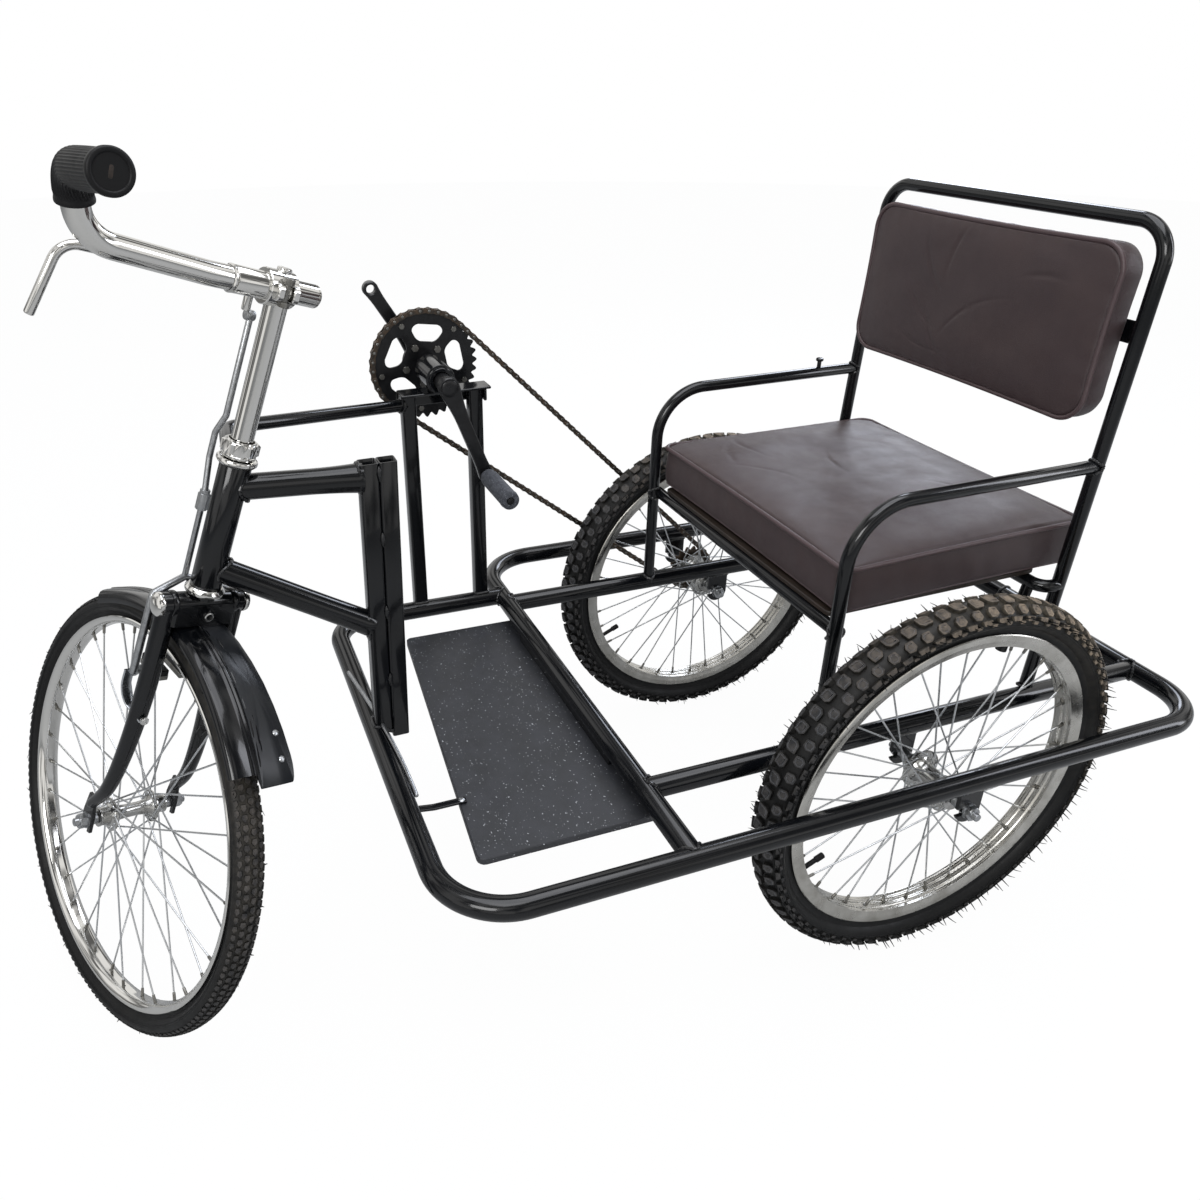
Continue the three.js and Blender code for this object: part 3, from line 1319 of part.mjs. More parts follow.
addPiece(steering, 'front_axle', join(
  rodAlongX(axleDiameter, -bladeFootX - nutLength - overrun / 2, bladeFootX + nutLength + overrun / 2, -forkRake, -axleDrop, thinSides),
  ...[1, -1].flatMap((side) => {
    const outside = side * (bladeFootX + dropoutThickness / 2 + weldGap);
    const inside = side * (bladeFootX - dropoutThickness / 2 - weldGap);
    return [
      rodAlongX(nutAcross, outside, outside + side * nutLength * 0.8, -forkRake, -axleDrop, 6),
      rodAlongX(coneDiameter, side * (frontHubHalf + runGap), inside, -forkRake, -axleDrop, thinSides),
    ];
  }),
), zinc);

const frontWheel = new THREE.Group();
frontWheel.position.copy(hubPoint);
frontWheel.rotation.x = Math.atan(Math.tan(headAngle) * Math.cos(steerAngle));
steering.add(frontWheel);
addPiece(frontWheel, 'front_tyre', turned(frontTyre), rubber);
addPiece(frontWheel, 'front_rim', rim(frontRimRadius, frontRimWidth), chrome);
const frontHub = hubWithSpokes(frontFlangeRadius, frontFlangeX, frontHubHalf, frontRimRadius - rimDepth, bossDiameter / 2);
addPiece(frontWheel, 'front_hub', frontHub, chrome);

// Front brake: lever on the bar, pull rod in front of the head tube, stirrup and shoes

const leverPath = [
  point(leverArmX, leverY, leverZ - leverArmDrop),
  point(leverArmX, leverY, leverZ),
  point(leverElbowX, leverY, leverZ),
  point(leverTipX, leverY, leverZ - leverTipDrop),
];
const lever = tube(leverDiameter, leverPath, { bends: [leverArmBend, leverBend], side: axisY, sides: thinSides });
addPiece(steering, 'brake_lever', lever, chrome);

const pullRodPath = [
  point(pullRodX, pullRodY, pullRodTop),
  point(pullRodX, pullRodY, steererTop * 2),
  point(pullRodLowX, pullRodBelly, steererTop),
  point(pullRodLowX, pullRodBelly, -cupHeight),
  point(pullRodLowX, pullRodY, adjusterTop),
  point(pullRodLowX, pullRodY, stirrupTop),
];
const arm = (side) => tube(
  stirrupDiameter,
  [point(pullRodLowX, pullRodY, stirrupTop), armPoint(side), kneePoint(side), stirrupFoot(side), stirrupEnd(side)],
  { side: axisX.clone().add(axisY), sides: thinSides, bends: [stirrupDiameter, stirrupDiameter, stirrupDiameter / 2] },
);
const pullRod = join(
  tube(pullRodDiameter, pullRodPath, { side: axisX, sides: thinSides }),
  rodAlongZ(adjusterDiameter, adjusterBottom, adjusterTop, pullRodLowX, pullRodY, 6),
  arm(1),
  arm(-1),
);
addPiece(steering, 'brake_rod', pullRod, chrome);

[1, -1].forEach((side) => {
  const shoe = block(
    point(side * shoeX - shoeWidth / 2, -forkRake - shoeLength / 2, shoeBottom),
    point(side * shoeX + shoeWidth / 2, -forkRake + shoeLength / 2, shoeBottom + shoeHeight),
  );
  const grown = tube(
    stirrupDiameter,
    [stirrupFoot(side), stirrupEnd(side).add(point(-side * weldGap, 0, 0))],
    { side: axisY, sides: thinSides, grow: weldGap },
  );
  addPiece(steering, side > 0 ? 'brake_shoe_left' : 'brake_shoe_right', cut(shoe, grown), rubber);
});

// The origin is the bottom centre of the whole object's box

tricycle.updateMatrixWorld(true);
const extent = new THREE.Box3().setFromObject(tricycle, true);
const centre = extent.getCenter(point(0, 0, 0));
tricycle.position.set(-centre.x, -centre.y, -extent.min.z);
tricycle.updateMatrixWorld(true);

export default tricycle;
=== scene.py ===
"""Looks of a hand-driven adaptive tricycle, built in Blender 4.5 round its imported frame.

Lengths are in millimetres in the chassis frame: +X to the rider's left, +Y to the back and +Z up,
from the ground under the rear axle line. Piece.build moves a finished piece to the row frame in metres.
"""

import logging
import math
from collections.abc import Sequence
from dataclasses import dataclass, field
from enum import Enum

import bmesh
import bpy
import numpy as np
from mathutils import Matrix, Vector
from mathutils.geometry import tessellate_polygon

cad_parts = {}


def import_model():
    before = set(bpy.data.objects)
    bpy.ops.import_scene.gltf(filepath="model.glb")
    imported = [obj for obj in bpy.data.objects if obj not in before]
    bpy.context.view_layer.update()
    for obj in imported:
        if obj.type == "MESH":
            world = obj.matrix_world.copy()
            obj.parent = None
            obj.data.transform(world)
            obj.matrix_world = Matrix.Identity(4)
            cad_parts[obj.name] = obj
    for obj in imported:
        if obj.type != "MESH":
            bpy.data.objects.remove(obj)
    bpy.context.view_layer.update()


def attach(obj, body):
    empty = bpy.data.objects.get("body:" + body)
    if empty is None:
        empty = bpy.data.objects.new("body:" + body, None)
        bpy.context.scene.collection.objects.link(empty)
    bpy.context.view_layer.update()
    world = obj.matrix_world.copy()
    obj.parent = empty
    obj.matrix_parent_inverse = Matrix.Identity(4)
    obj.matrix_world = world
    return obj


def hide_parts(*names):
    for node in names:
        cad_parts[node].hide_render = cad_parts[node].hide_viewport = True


LOG = logging.getLogger("tricycle")
Array = np.ndarray
Point = Sequence[float]
Tree = bpy.types.NodeTree
Socket = bpy.types.NodeSocket
MM = 0.001
CHASSIS_SHIFT = (15.4, 332.632, 0.0)
ORIGIN = (0.0, 0.0, 0.0)
AXIS_X, AXIS_Y, AXIS_Z = np.eye(3)


class Side(Enum):
    """Which side of the tricycle a piece is on, as the sign of its X."""

    LEFT = 1
    RIGHT = -1

    @property
    def word(self) -> str:
        """The side's name in small letters, as the pieces have it."""
        return self.name.lower()


class Facing(Enum):
    """The direction that a flat piece is cut through, as its two outline directions and its own."""

    X = (1, 2, 0)
    Y = (2, 0, 1)
    Z = (0, 1, 2)

    @property
    def axes(self) -> Array:
        """The two directions of the outline, then the direction cut through, one row each."""
        return np.eye(3)[list(self.value)]


def unit(vectors: Array) -> Array:
    """Vectors of length one, each row divided by its own length."""
    return vectors / np.maximum(np.linalg.norm(vectors, axis=-1, keepdims=True), 1e-12)


def turned(axis: Array, degrees: float) -> Array:
    """Rotation matrix about an axis, by the right-hand rule.

    It is the identity plus the sine, and one less the cosine, times the axis's cross matrix.
    """
    cross = np.cross(unit(axis), np.eye(3)).T
    angle = math.radians(degrees)
    return np.eye(3) + math.sin(angle) * cross + (1 - math.cos(angle)) * cross @ cross


def full_turn(count: int) -> Array:
    """Angles once round a circle, evenly spaced."""
    return np.linspace(0, 2 * np.pi, count, endpoint=False)


def polar(radius: float | Array, angle: float | Array, centre: Point = (0.0, 0.0)) -> Array:
    """Flat points from radii and angles about a centre."""
    return np.stack([radius * np.cos(angle), radius * np.sin(angle)], axis=-1) + np.asarray(centre, float)


def circle(radius: float, count: int = 24, centre: Point = (0.0, 0.0), clockwise: bool = False) -> Array:
    """Points round a circle, anticlockwise unless asked otherwise, for a hole."""
    return polar(radius, full_turn(count) * (-1 if clockwise else 1), centre)


def about_x(across: float | Array, radius: float | Array, angle: Array) -> Array:
    """Points from the way along X, the distance from X and the angle round it."""
    return np.stack(np.broadcast_arrays(across, radius * np.cos(angle), radius * np.sin(angle)), axis=-1)


def spun(first: Array, second: Array, angle: Array) -> Array:
    """Unit circles: the cosine of each angle times the first direction plus the sine times the second."""
    return np.cos(angle)[:, None] * first[..., None, :] + np.sin(angle)[:, None] * second[..., None, :]


def raised(outline: Array, height: float | Array) -> Array:
    """A flat outline at a height."""
    return np.stack(np.broadcast_arrays(*outline.T, height), axis=1)


@dataclass(frozen=True)
class Place:
    """A working frame: where its origin is in the chassis frame, and how it is turned."""

    origin: Point = ORIGIN
    turn: Array = field(default_factory=lambda: np.eye(3))

    def put(self, points: Array) -> Array:
        """Points of this frame in the chassis frame: each is turned, then moved by the origin."""
        return points @ self.turn.T + np.asarray(self.origin, float)

    def inner(self, origin: Point, turn: Array | None = None) -> "Place":
        """A frame that lies inside this one, at an origin and with a turn given in this one."""
        own = np.eye(3) if turn is None else turn
        return Place(tuple(self.put(np.asarray(origin, float))), self.turn @ own)


def corner_arc(
    node: Array, into: Array, out: Array, radius: float, steps: int = 0, step: float = 6.0
) -> Array:
    """Stations round a corner: an arc of a radius, or the corner alone where it is sharp.

    The arc starts the radius times the tangent of half the turn before the corner, and goes round
    as sine and one less the cosine of the angle so far.

    Args:
        node: the corner.
        into: the direction that the line comes in by.
        out: the direction that it leaves by.
        radius: the arc's radius.
        steps: how many stations the arc has, or 0 to go by the next argument.
        step: degrees between its stations.

    Returns:
        An array of points, one row each.
    """
    turn = math.acos(float(np.clip(into @ out, -1, 1)))
    if radius <= 0 or turn < 1e-3:
        return node[None]
    inward = unit(out - into * (out @ into))
    count = steps or max(3, math.ceil(math.degrees(turn) / step) + 1)
    angle = np.linspace(0, turn, count)[:, None]
    start = node - into * radius * math.tan(turn / 2)
    return start + radius * (into * np.sin(angle) + inward * (1 - np.cos(angle)))


def bent_path(corners: Sequence[Point], bends: Sequence[float] = (), step: float = 6.0) -> Array:
    """Stations along a line whose inner corners are rounded by arcs.

    Args:
        corners: the ends and corners of the line.
        bends: the radius at each inner corner; those left out are sharp.
        step: degrees between the stations on an arc.

    Returns:
        An array of points, one row each.
    """
    nodes = np.asarray(corners, float)
    runs = unit(np.diff(nodes, axis=0))
    radii = [*bends, *[0.0] * len(nodes)]
    arcs = [corner_arc(*corner, step=step) for corner in zip(nodes[1:-1], runs[:-1], runs[1:], radii)]
    return np.concatenate([nodes[:1], *arcs, nodes[-1:]])


def rounded_outline(corners: Sequence[Point], radii: float | Sequence[float], steps: int = 5) -> Array:
    """A closed flat outline with an arc at each corner.

    Args:
        corners: the corners in order, anticlockwise.
        radii: one radius, or one for each corner.
        steps: points on each arc.

    Returns:
        The outline's points, one row each.
    """
    nodes = np.asarray(corners, float)
    into = unit(nodes - np.roll(nodes, 1, axis=0))
    reach = np.broadcast_to(np.asarray(radii, float), len(nodes))
    sets = zip(nodes, into, np.roll(into, -1, axis=0), reach)
    return np.concatenate([corner_arc(*corner, steps=steps) for corner in sets])


def rectangle(width: float, height: float, radius: float, steps: int = 4) -> Array:
    """A rounded rectangle about the origin, anticlockwise."""
    a, b = width / 2, height / 2
    return rounded_outline([(-a, -b), (a, -b), (a, b), (-a, b)], radius, steps)


def smooth_path(knots: Sequence[Point], count: int) -> Array:
    """A curve through all knots, as cubic pieces whose slopes are half the span of their neighbours.

    Args:
        knots: the points that the curve goes through.
        count: how many stations the curve gets.

    Returns:
        The stations, evenly spaced in the curve's parameter.
    """
    p = np.asarray(knots, float)
    slope = np.gradient(p, axis=0)
    where = np.linspace(0, len(p) - 1, count)
    i = np.minimum(where.astype(int), len(p) - 2)
    t = (where - i)[:, None]
    near = (1 + 2 * t) * (1 - t) ** 2 * p[i] + t * (1 - t) ** 2 * slope[i]
    return near + t**2 * (3 - 2 * t) * p[i + 1] + t**2 * (t - 1) * slope[i + 1]


def even_path(line: Array, count: int, endpoint: bool = True) -> tuple[Array, Array]:
    """Stations at even steps of length along a line.

    Args:
        line: the line's points, one row each.
        count: how many stations there are.
        endpoint: whether the line's end is one of them.

    Returns:
        The stations, and how far along the line each is.
    """
    length = line_length(line)
    spots = np.linspace(0, length[-1], count, endpoint=endpoint)
    return np.stack([np.interp(spots, length, column) for column in line.T], axis=1), spots


def line_length(line: Array) -> Array:
    """How far along a line each of its points is."""
    return np.concatenate([[0.0], np.cumsum(np.linalg.norm(np.diff(line, axis=0), axis=1))])


def ring_frames(path: Array, hint: Array, loop: bool = False) -> tuple[Array, Array]:
    """The two cross directions at each station of a path.

    The tangent is the slope over the length along the path. The first cross direction is the hint
    less its part along the tangent, and the second is the tangent crossed with the first.

    Args:
        path: the stations, one row each.
        hint: a direction that is never along the path.
        loop: whether the last station joins the first.

    Returns:
        Two arrays of directions, as long as the path.
    """
    if loop:
        tangent = unit(np.roll(path, -1, axis=0) - np.roll(path, 1, axis=0))
    else:
        gaps = np.linalg.norm(np.diff(path, axis=0), axis=1)
        along = np.concatenate([[0.0], np.cumsum(np.maximum(gaps, 1e-6))])
        tangent = unit(np.gradient(path, along, axis=0))
    first = unit(hint - tangent * (tangent @ hint)[:, None])
    return first, np.cross(tangent, first)


def tube_rings(
    path: Array, radius: float | Array, sides: int = 24, hint: Array = AXIS_Z, loop: bool = False
) -> Array:
    """Rings round a path: station plus radius times a circle of its two cross directions.

    Args:
        path: the stations, one row each.
        radius: one radius, or one for each station.
        sides: points on each ring.
        hint: a direction that is never along the path.
        loop: whether the last station joins the first.

    Returns:
        An array of rings by points by three.
    """
    reach = np.broadcast_to(np.asarray(radius, float), len(path))[:, None, None]
    return path[:, None] + reach * spun(*ring_frames(path, hint, loop), full_turn(sides))


def axis_circle(line: Array, angle: Array) -> Array:
    """A unit circle about a direction of length one."""
    first = unit(np.cross(line, AXIS_Y if abs(line @ AXIS_Y) < 0.8 else AXIS_Z))
    return spun(first, np.cross(line, first), angle)


def turned_rings(profile: Array, segments: int, origin: Point = ORIGIN, axis: Array = AXIS_X) -> Array:
    """A turned surface: each profile point goes once round the axis.

    Args:
        profile: rows of the way along the axis and the radius.
        segments: points on each ring.
        origin: the point that the way along starts from.
        axis: the axis of the turning.

    Returns:
        An array of rings by points by three.
    """
    line = unit(np.asarray(axis, float))
    rows = np.asarray(profile, float)[..., None]
    around = rows[:, 1:] * axis_circle(line, full_turn(segments))
    return np.asarray(origin, float) + rows[:, :1] * line + around


def rods(base: Array, axes: Array, first: Array, share: Array, size: float | Array) -> Array:
    """Many small turned bodies at once.

    Args:
        base: where each body's way along starts.
        axes: each body's axis, which the way along is multiplied by.
        first: a direction of length one that is square to each axis.
        share: the ways along of the rings.
        size: the radius of the rings.

    Returns:
        Copies by rings by points by three.
    """
    around = spun(first, np.cross(unit(axes), first), full_turn(8))
    rows = base[:, None] + share[:, None] * axes[:, None]
    return rows[:, :, None] + np.broadcast_to(size, len(share))[:, None, None] * around[:, None]


def inset(outline: Array, distance: float) -> Array:
    """A closed outline moved to its left-hand side, each corner along the sum of its edges' normals."""
    edge = unit(np.roll(outline, -1, axis=0) - outline)
    normal = np.stack([-edge[:, 1], edge[:, 0]], axis=1)
    both = unit(normal + np.roll(normal, 1, axis=0))
    return outline + both * distance / np.maximum(np.sum(both * normal, axis=1, keepdims=True), 0.5)


def srgb(code: str) -> tuple[float, float, float, float]:
    """A hex colour as linear light: dark parts divided by 12.92, brighter ones to the power of 2.4."""
    parts = np.array([int(code[i : i + 2], 16) for i in (1, 3, 5)]) / 255
    linear = np.where(parts <= 0.04045, parts / 12.92, ((parts + 0.055) / 1.055) ** 2.4)
    return (*linear.tolist(), 1.0)


def add(
    tree: Tree, kind: str, settings: dict[str, object] | None = None,
    inputs: dict[str | int, object] | None = None,
) -> bpy.types.Node:
    """Adds a shader node.

    Args:
        tree: the tree that it goes into.
        kind: the node's type name, less the word that all shader nodes start with.
        settings: its properties by name.
        inputs: its sockets by name or number; a socket is linked, and anything else is set as a value.

    Returns:
        The node.
    """
    node = tree.nodes.new("ShaderNode" + kind)
    for name, value in (settings or {}).items():
        setattr(node, name, value)
    for name, value in (inputs or {}).items():
        if isinstance(value, Socket):
            tree.links.new(value, node.inputs[name])
        else:
            node.inputs[name].default_value = value
    return node


def empty_tree(owner: bpy.types.Material | bpy.types.World) -> Tree:
    """A material's or a world's node tree, cleared."""
    owner.use_nodes = True
    owner.node_tree.nodes.clear()
    return owner.node_tree


def noise(tree: Tree, where: Socket, scale: float, detail: float, settings: dict | None = None) -> Socket:
    """Noise with so many lumps to a metre."""
    inputs = {"Vector": where, "Scale": scale, "Detail": detail} | (settings or {})
    return add(tree, "TexNoise", inputs=inputs).outputs["Fac"]


def spread(
    tree: Tree, value: Socket, low: float, high: float, start: float = 0.0, stop: float = 1.0
) -> Socket:
    """A value carried from one band to another and kept inside it."""
    inputs = {"Value": value, "From Min": low, "From Max": high, "To Min": start, "To Max": stop}
    return add(tree, "MapRange", {"clamp": True}, inputs).outputs["Result"]


def mixed(tree: Tree, share: Socket, under: object, over: object) -> Socket:
    """One colour over another by a share."""
    return add(tree, "Mix", {"data_type": "RGBA"}, {0: share, 6: under, 7: over}).outputs[2]


def joined(tree: Tree, share: Socket, under: bpy.types.Node, over: bpy.types.Node) -> bpy.types.Node:
    """One shader over another by a share."""
    return add(tree, "MixShader", inputs={0: share, 1: under.outputs[0], 2: over.outputs[0]})


def times(tree: Tree, value: Socket, factor: object) -> Socket:
    """The product of two values."""
    return add(tree, "Math", {"operation": "MULTIPLY"}, {0: value, 1: factor}).outputs[0]


@dataclass(frozen=True)
class Finish:
    """A real surface finish, sized in millimetres.

    The mottle is a colour and a size, the speck is a colour, a size and a share, and the grain and
    the cell net are each a size and a depth.
    """

    name: str
    slot: str
    colour: str
    roughness: float
    metallic: float = 0.0
    coat: float = 0.0
    sheen: float = 0.0
    mottle: tuple[str, float] = ("", 0.0)
    mottle_share: float = 0.35
    speck: tuple[str, float, float] = ("", 0.0, 0.0)
    dust_colour: str = ""
    grain: tuple[float, float] = (0.0, 0.0)
    cell: tuple[float, float] = (0.0, 0.0)
    streak: Point = ()
    rough_spread: float = 0.08
    specular: float = 0.5

    def material(self) -> bpy.types.Material:
        """The finish as a material, made once and found by name afterwards."""
        return bpy.data.materials.get(self.name) or self._made()

    def _made(self) -> bpy.types.Material:
        """Builds the node tree: colour, then roughness, then relief."""
        material = bpy.data.materials.new(self.name)
        tree = empty_tree(material)
        where = add(tree, "TexCoord").outputs["Object"]
        inputs: dict[str | int, object] = {"Metallic": self.metallic}
        inputs["Base Color"] = self._colour(tree, where)
        inputs["Roughness"] = self._roughness(tree, where)
        if self.metallic < 0.5:
            inputs["Specular IOR Level"] = self.specular
        if self.coat:
            inputs |= {"Coat Weight": self.coat, "Coat Roughness": 0.05}
        if self.sheen:
            inputs |= {"Sheen Weight": self.sheen, "Sheen Roughness": 0.4}
        inputs |= self._relief(tree, where)
        shader = add(tree, "BsdfPrincipled", inputs=inputs)
        add(tree, "OutputMaterial", inputs={"Surface": shader.outputs["BSDF"]})
        return material

    def _noise(self, tree: Tree, where: Socket, size: float, detail: float = 3.0) -> Socket:
        """Noise whose lumps are about as wide as the size."""
        return noise(tree, where, 1 / (size * MM), detail, {"Roughness": 0.6})

    def _colour(self, tree: Tree, where: Socket) -> object:
        """The base colour, then its mottling, its specks and its dust, where it has them."""
        colour: object = srgb(self.colour)
        over, size = self.mottle
        if over:
            share = spread(tree, self._noise(tree, where, size), 0.75 - self.mottle_share, 0.85)
            colour = mixed(tree, share, colour, srgb(over))
        over, size, cover = self.speck
        if over:
            share = spread(tree, self._noise(tree, where, size, 1.0), 0.72 - cover, 0.76)
            colour = mixed(tree, share, colour, srgb(over))
        if self.dust_colour:
            dust = add(tree, "Attribute", {"attribute_name": "dust"}).outputs["Fac"]
            broken = spread(tree, self._noise(tree, where, 9.0, 4.0), 0.25, 0.6)
            colour = mixed(tree, times(tree, dust, broken), colour, srgb(self.dust_colour))
        return colour

    def _roughness(self, tree: Tree, where: Socket) -> object:
        """The roughness, with handling marks that spread it a little both ways."""
        low = max(self.roughness - self.rough_spread, 0.02)
        return spread(
            tree, self._noise(tree, where, 28.0, 4.0), 0.3, 0.7, low, self.roughness + self.rough_spread
        )

    def _relief(self, tree: Tree, where: Socket) -> dict[str, Socket]:
        """Bumps: a leather-like net of cells, then a fine grain, which may be drawn out into brush marks."""
        relief: dict[str, Socket] = {}
        size, depth = self.cell
        if size:
            inputs = {"Vector": where, "Scale": 1 / (size * MM)}
            cells = add(tree, "TexVoronoi", {"feature": "DISTANCE_TO_EDGE"}, inputs).outputs["Distance"]
            bump = {"Height": spread(tree, cells, 0.0, 0.16), "Distance": depth * MM, "Strength": 0.6}
            relief["Normal"] = add(tree, "Bump", inputs=bump).outputs["Normal"]
        size, depth = self.grain
        if size:
            if self.streak:
                where = add(tree, "Mapping", inputs={"Vector": where, "Scale": tuple(self.streak)}).outputs[0]
            grain = self._noise(tree, where, size)
            bump = {"Height": grain, "Distance": depth * MM, "Strength": 0.7} | relief
            relief["Normal"] = add(tree, "Bump", inputs=bump).outputs["Normal"]
        return relief


# Stove-enamelled steel: a black coat under a clear one, with orange peel that wobbles the highlights.
PAINT = Finish(
    "gloss_black_enamel", "black_paint", "#060709", 0.17, coat=0.35, mottle=("#0b0d11", 120),
    rough_spread=0.05, grain=(9, 0.05), specular=0.3,
)
# Enamel over weld metal: duller and lumpy, so that each joint shows as a rough ring.
WELD = Finish("painted_weld", "black_paint", "#090a0d", 0.3, coat=0.35, grain=(1.6, 0.35))
# Polished chromium plate: mirror bright, with faint haze that keeps it from looking like glass.
CHROME = Finish("chromium_plate", "chrome", "#dcdbd8", 0.08, 1.0, rough_spread=0.05)
# Plated hub steel, handled and dusty: bright with soft edges to its reflections.
HUB = Finish(
    "dulled_chromium", "chrome", "#bdbdbb", 0.2, 1.0, mottle=("#8d8a84", 14), mottle_share=0.3,
    rough_spread=0.1,
)
# Zinc-plated steel: bluish grey with a fine crystalline mottle.
ZINC = Finish("zinc_plate", "zinc_steel", "#b2b4b6", 0.34, 1.0, mottle=("#8b8d90", 6), grain=(2.5, 0.04))
# Rolled and satin-brushed rim metal: warm light grey with a fine grain.
RIM = Finish("satin_rim", "alloy", "#d0cec8", 0.24, 1.0, mottle=("#a5a29a", 30), grain=(1.2, 0.03))
# Drawn stainless spoke wire: bright silver with soft reflections.
SPOKE = Finish("spoke_wire", "zinc_steel", "#cfd1d3", 0.28, 1.0)
# Moulded tyre rubber: dull black, with road dust held in the moulding.
TYRE = Finish(
    "tyre_rubber", "tyre", "#08090a", 0.5, mottle=("#0f0f10", 18), dust_colour="#5d564b", grain=(1.4, 0.08),
    specular=0.26,
)
# Worn tread tops: scuffed by the road to a pale grey-brown.
KNOB = Finish(
    "worn_tread", "tyre", "#27282a", 0.66, mottle=("#3f3f40", 9), speck=("#24221f", 2.2, 0.16),
    dust_colour="#857664", grain=(1.1, 0.15), specular=0.22,
)
# The groove round a tread block's top, filled with pale road dust, so that each block has an outline.
KNOB_LINE = Finish("tread_sipe", "tyre", "#4b4c4f", 0.7, dust_colour="#857664", specular=0.3)
# Soft moulded grip rubber: satin black.
RUBBER = Finish("grip_rubber", "rubber", "#08080a", 0.46, grain=(1.0, 0.05), specular=0.28)
# Bright zinc-plated strip steel of the brake guides: pale, with soft reflections.
BRIGHT = Finish("bright_zinc", "zinc_steel", "#c9cdd2", 0.24, 1.0)
# Smooth satin plate at the mudguard's end: dark grey plastic.
FLAP = Finish("satin_end_plate", "rubber", "#15171a", 0.32, rough_spread=0.04, specular=0.4)
# The crank handle's sleeve: dark rubber whitened by dust in its knurling.
DUSTY_RUBBER = Finish(
    "dusty_knurl", "rubber", "#2f3137", 0.7, mottle=("#4d4f55", 5), speck=("#7b7d82", 1.6, 0.1),
    grain=(1.6, 0.35),
)
# PVC leathercloth: dark brown with an embossed cell grain and a soft sheen.
LEATHER = Finish(
    "brown_leathercloth", "leatherette", "#36292a", 0.46, mottle=("#3d2f2e", 60), cell=(1.5, 0.12),
    rough_spread=0.07, sheen=0.06, grain=(14, 0.25),
)
# The same cloth rolled over cord, rubbed a little lighter along the piping.
PIPING = Finish("rubbed_piping", "leatherette", "#453637", 0.4, cell=(1.5, 0.08))
# Blackened chain and bolt steel: oily, with rust showing through.
CHAIN = Finish(
    "oily_steel", "worn_steel", "#4a4642", 0.42, 0.85, mottle=("#6e5a48", 7), rough_spread=0.12,
    grain=(1.5, 0.1),
)
# Chemically blackened steel of the drive: near black with worn grey edges.
BLACK_STEEL = Finish(
    "blackened_steel", "black_steel", "#0d0d0f", 0.34, 0.25, mottle=("#1d1d1f", 9), coat=0.15,
)
# Dull bare steel of nuts, shoe holders and small fittings.
WORN = Finish("worn_plate", "worn_steel", "#8a8985", 0.4, 1.0, mottle=("#66625b", 8), grain=(1.8, 0.08))
# Rubber-faced board of the footrest: dark grey with pale scuffs and specks.
BOARD = Finish(
    "scuffed_board", "board", "#27282b", 0.48, mottle=("#313237", 35), speck=("#b9bbbe", 2.6, 0.012),
    grain=(1.4, 0.12),
)
# Dark-stained plywood under the cushion: nearly black, with long grain.
PLYWOOD = Finish(
    "dark_plywood", "plywood", "#241c16", 0.5, mottle=("#30251c", 12), grain=(3, 0.1),
    streak=(0.15, 1.0, 1.0),
)
# Painted shadow: a dark colour with a brown mottle, on a thin sheet that stands for the shadow in the slot of
# the grip's end cap.
SLOT_SHADOW = Finish("painted_slot_shadow", "black_paint", "#1a1613", 0.8, mottle=("#3a2a1f", 8))


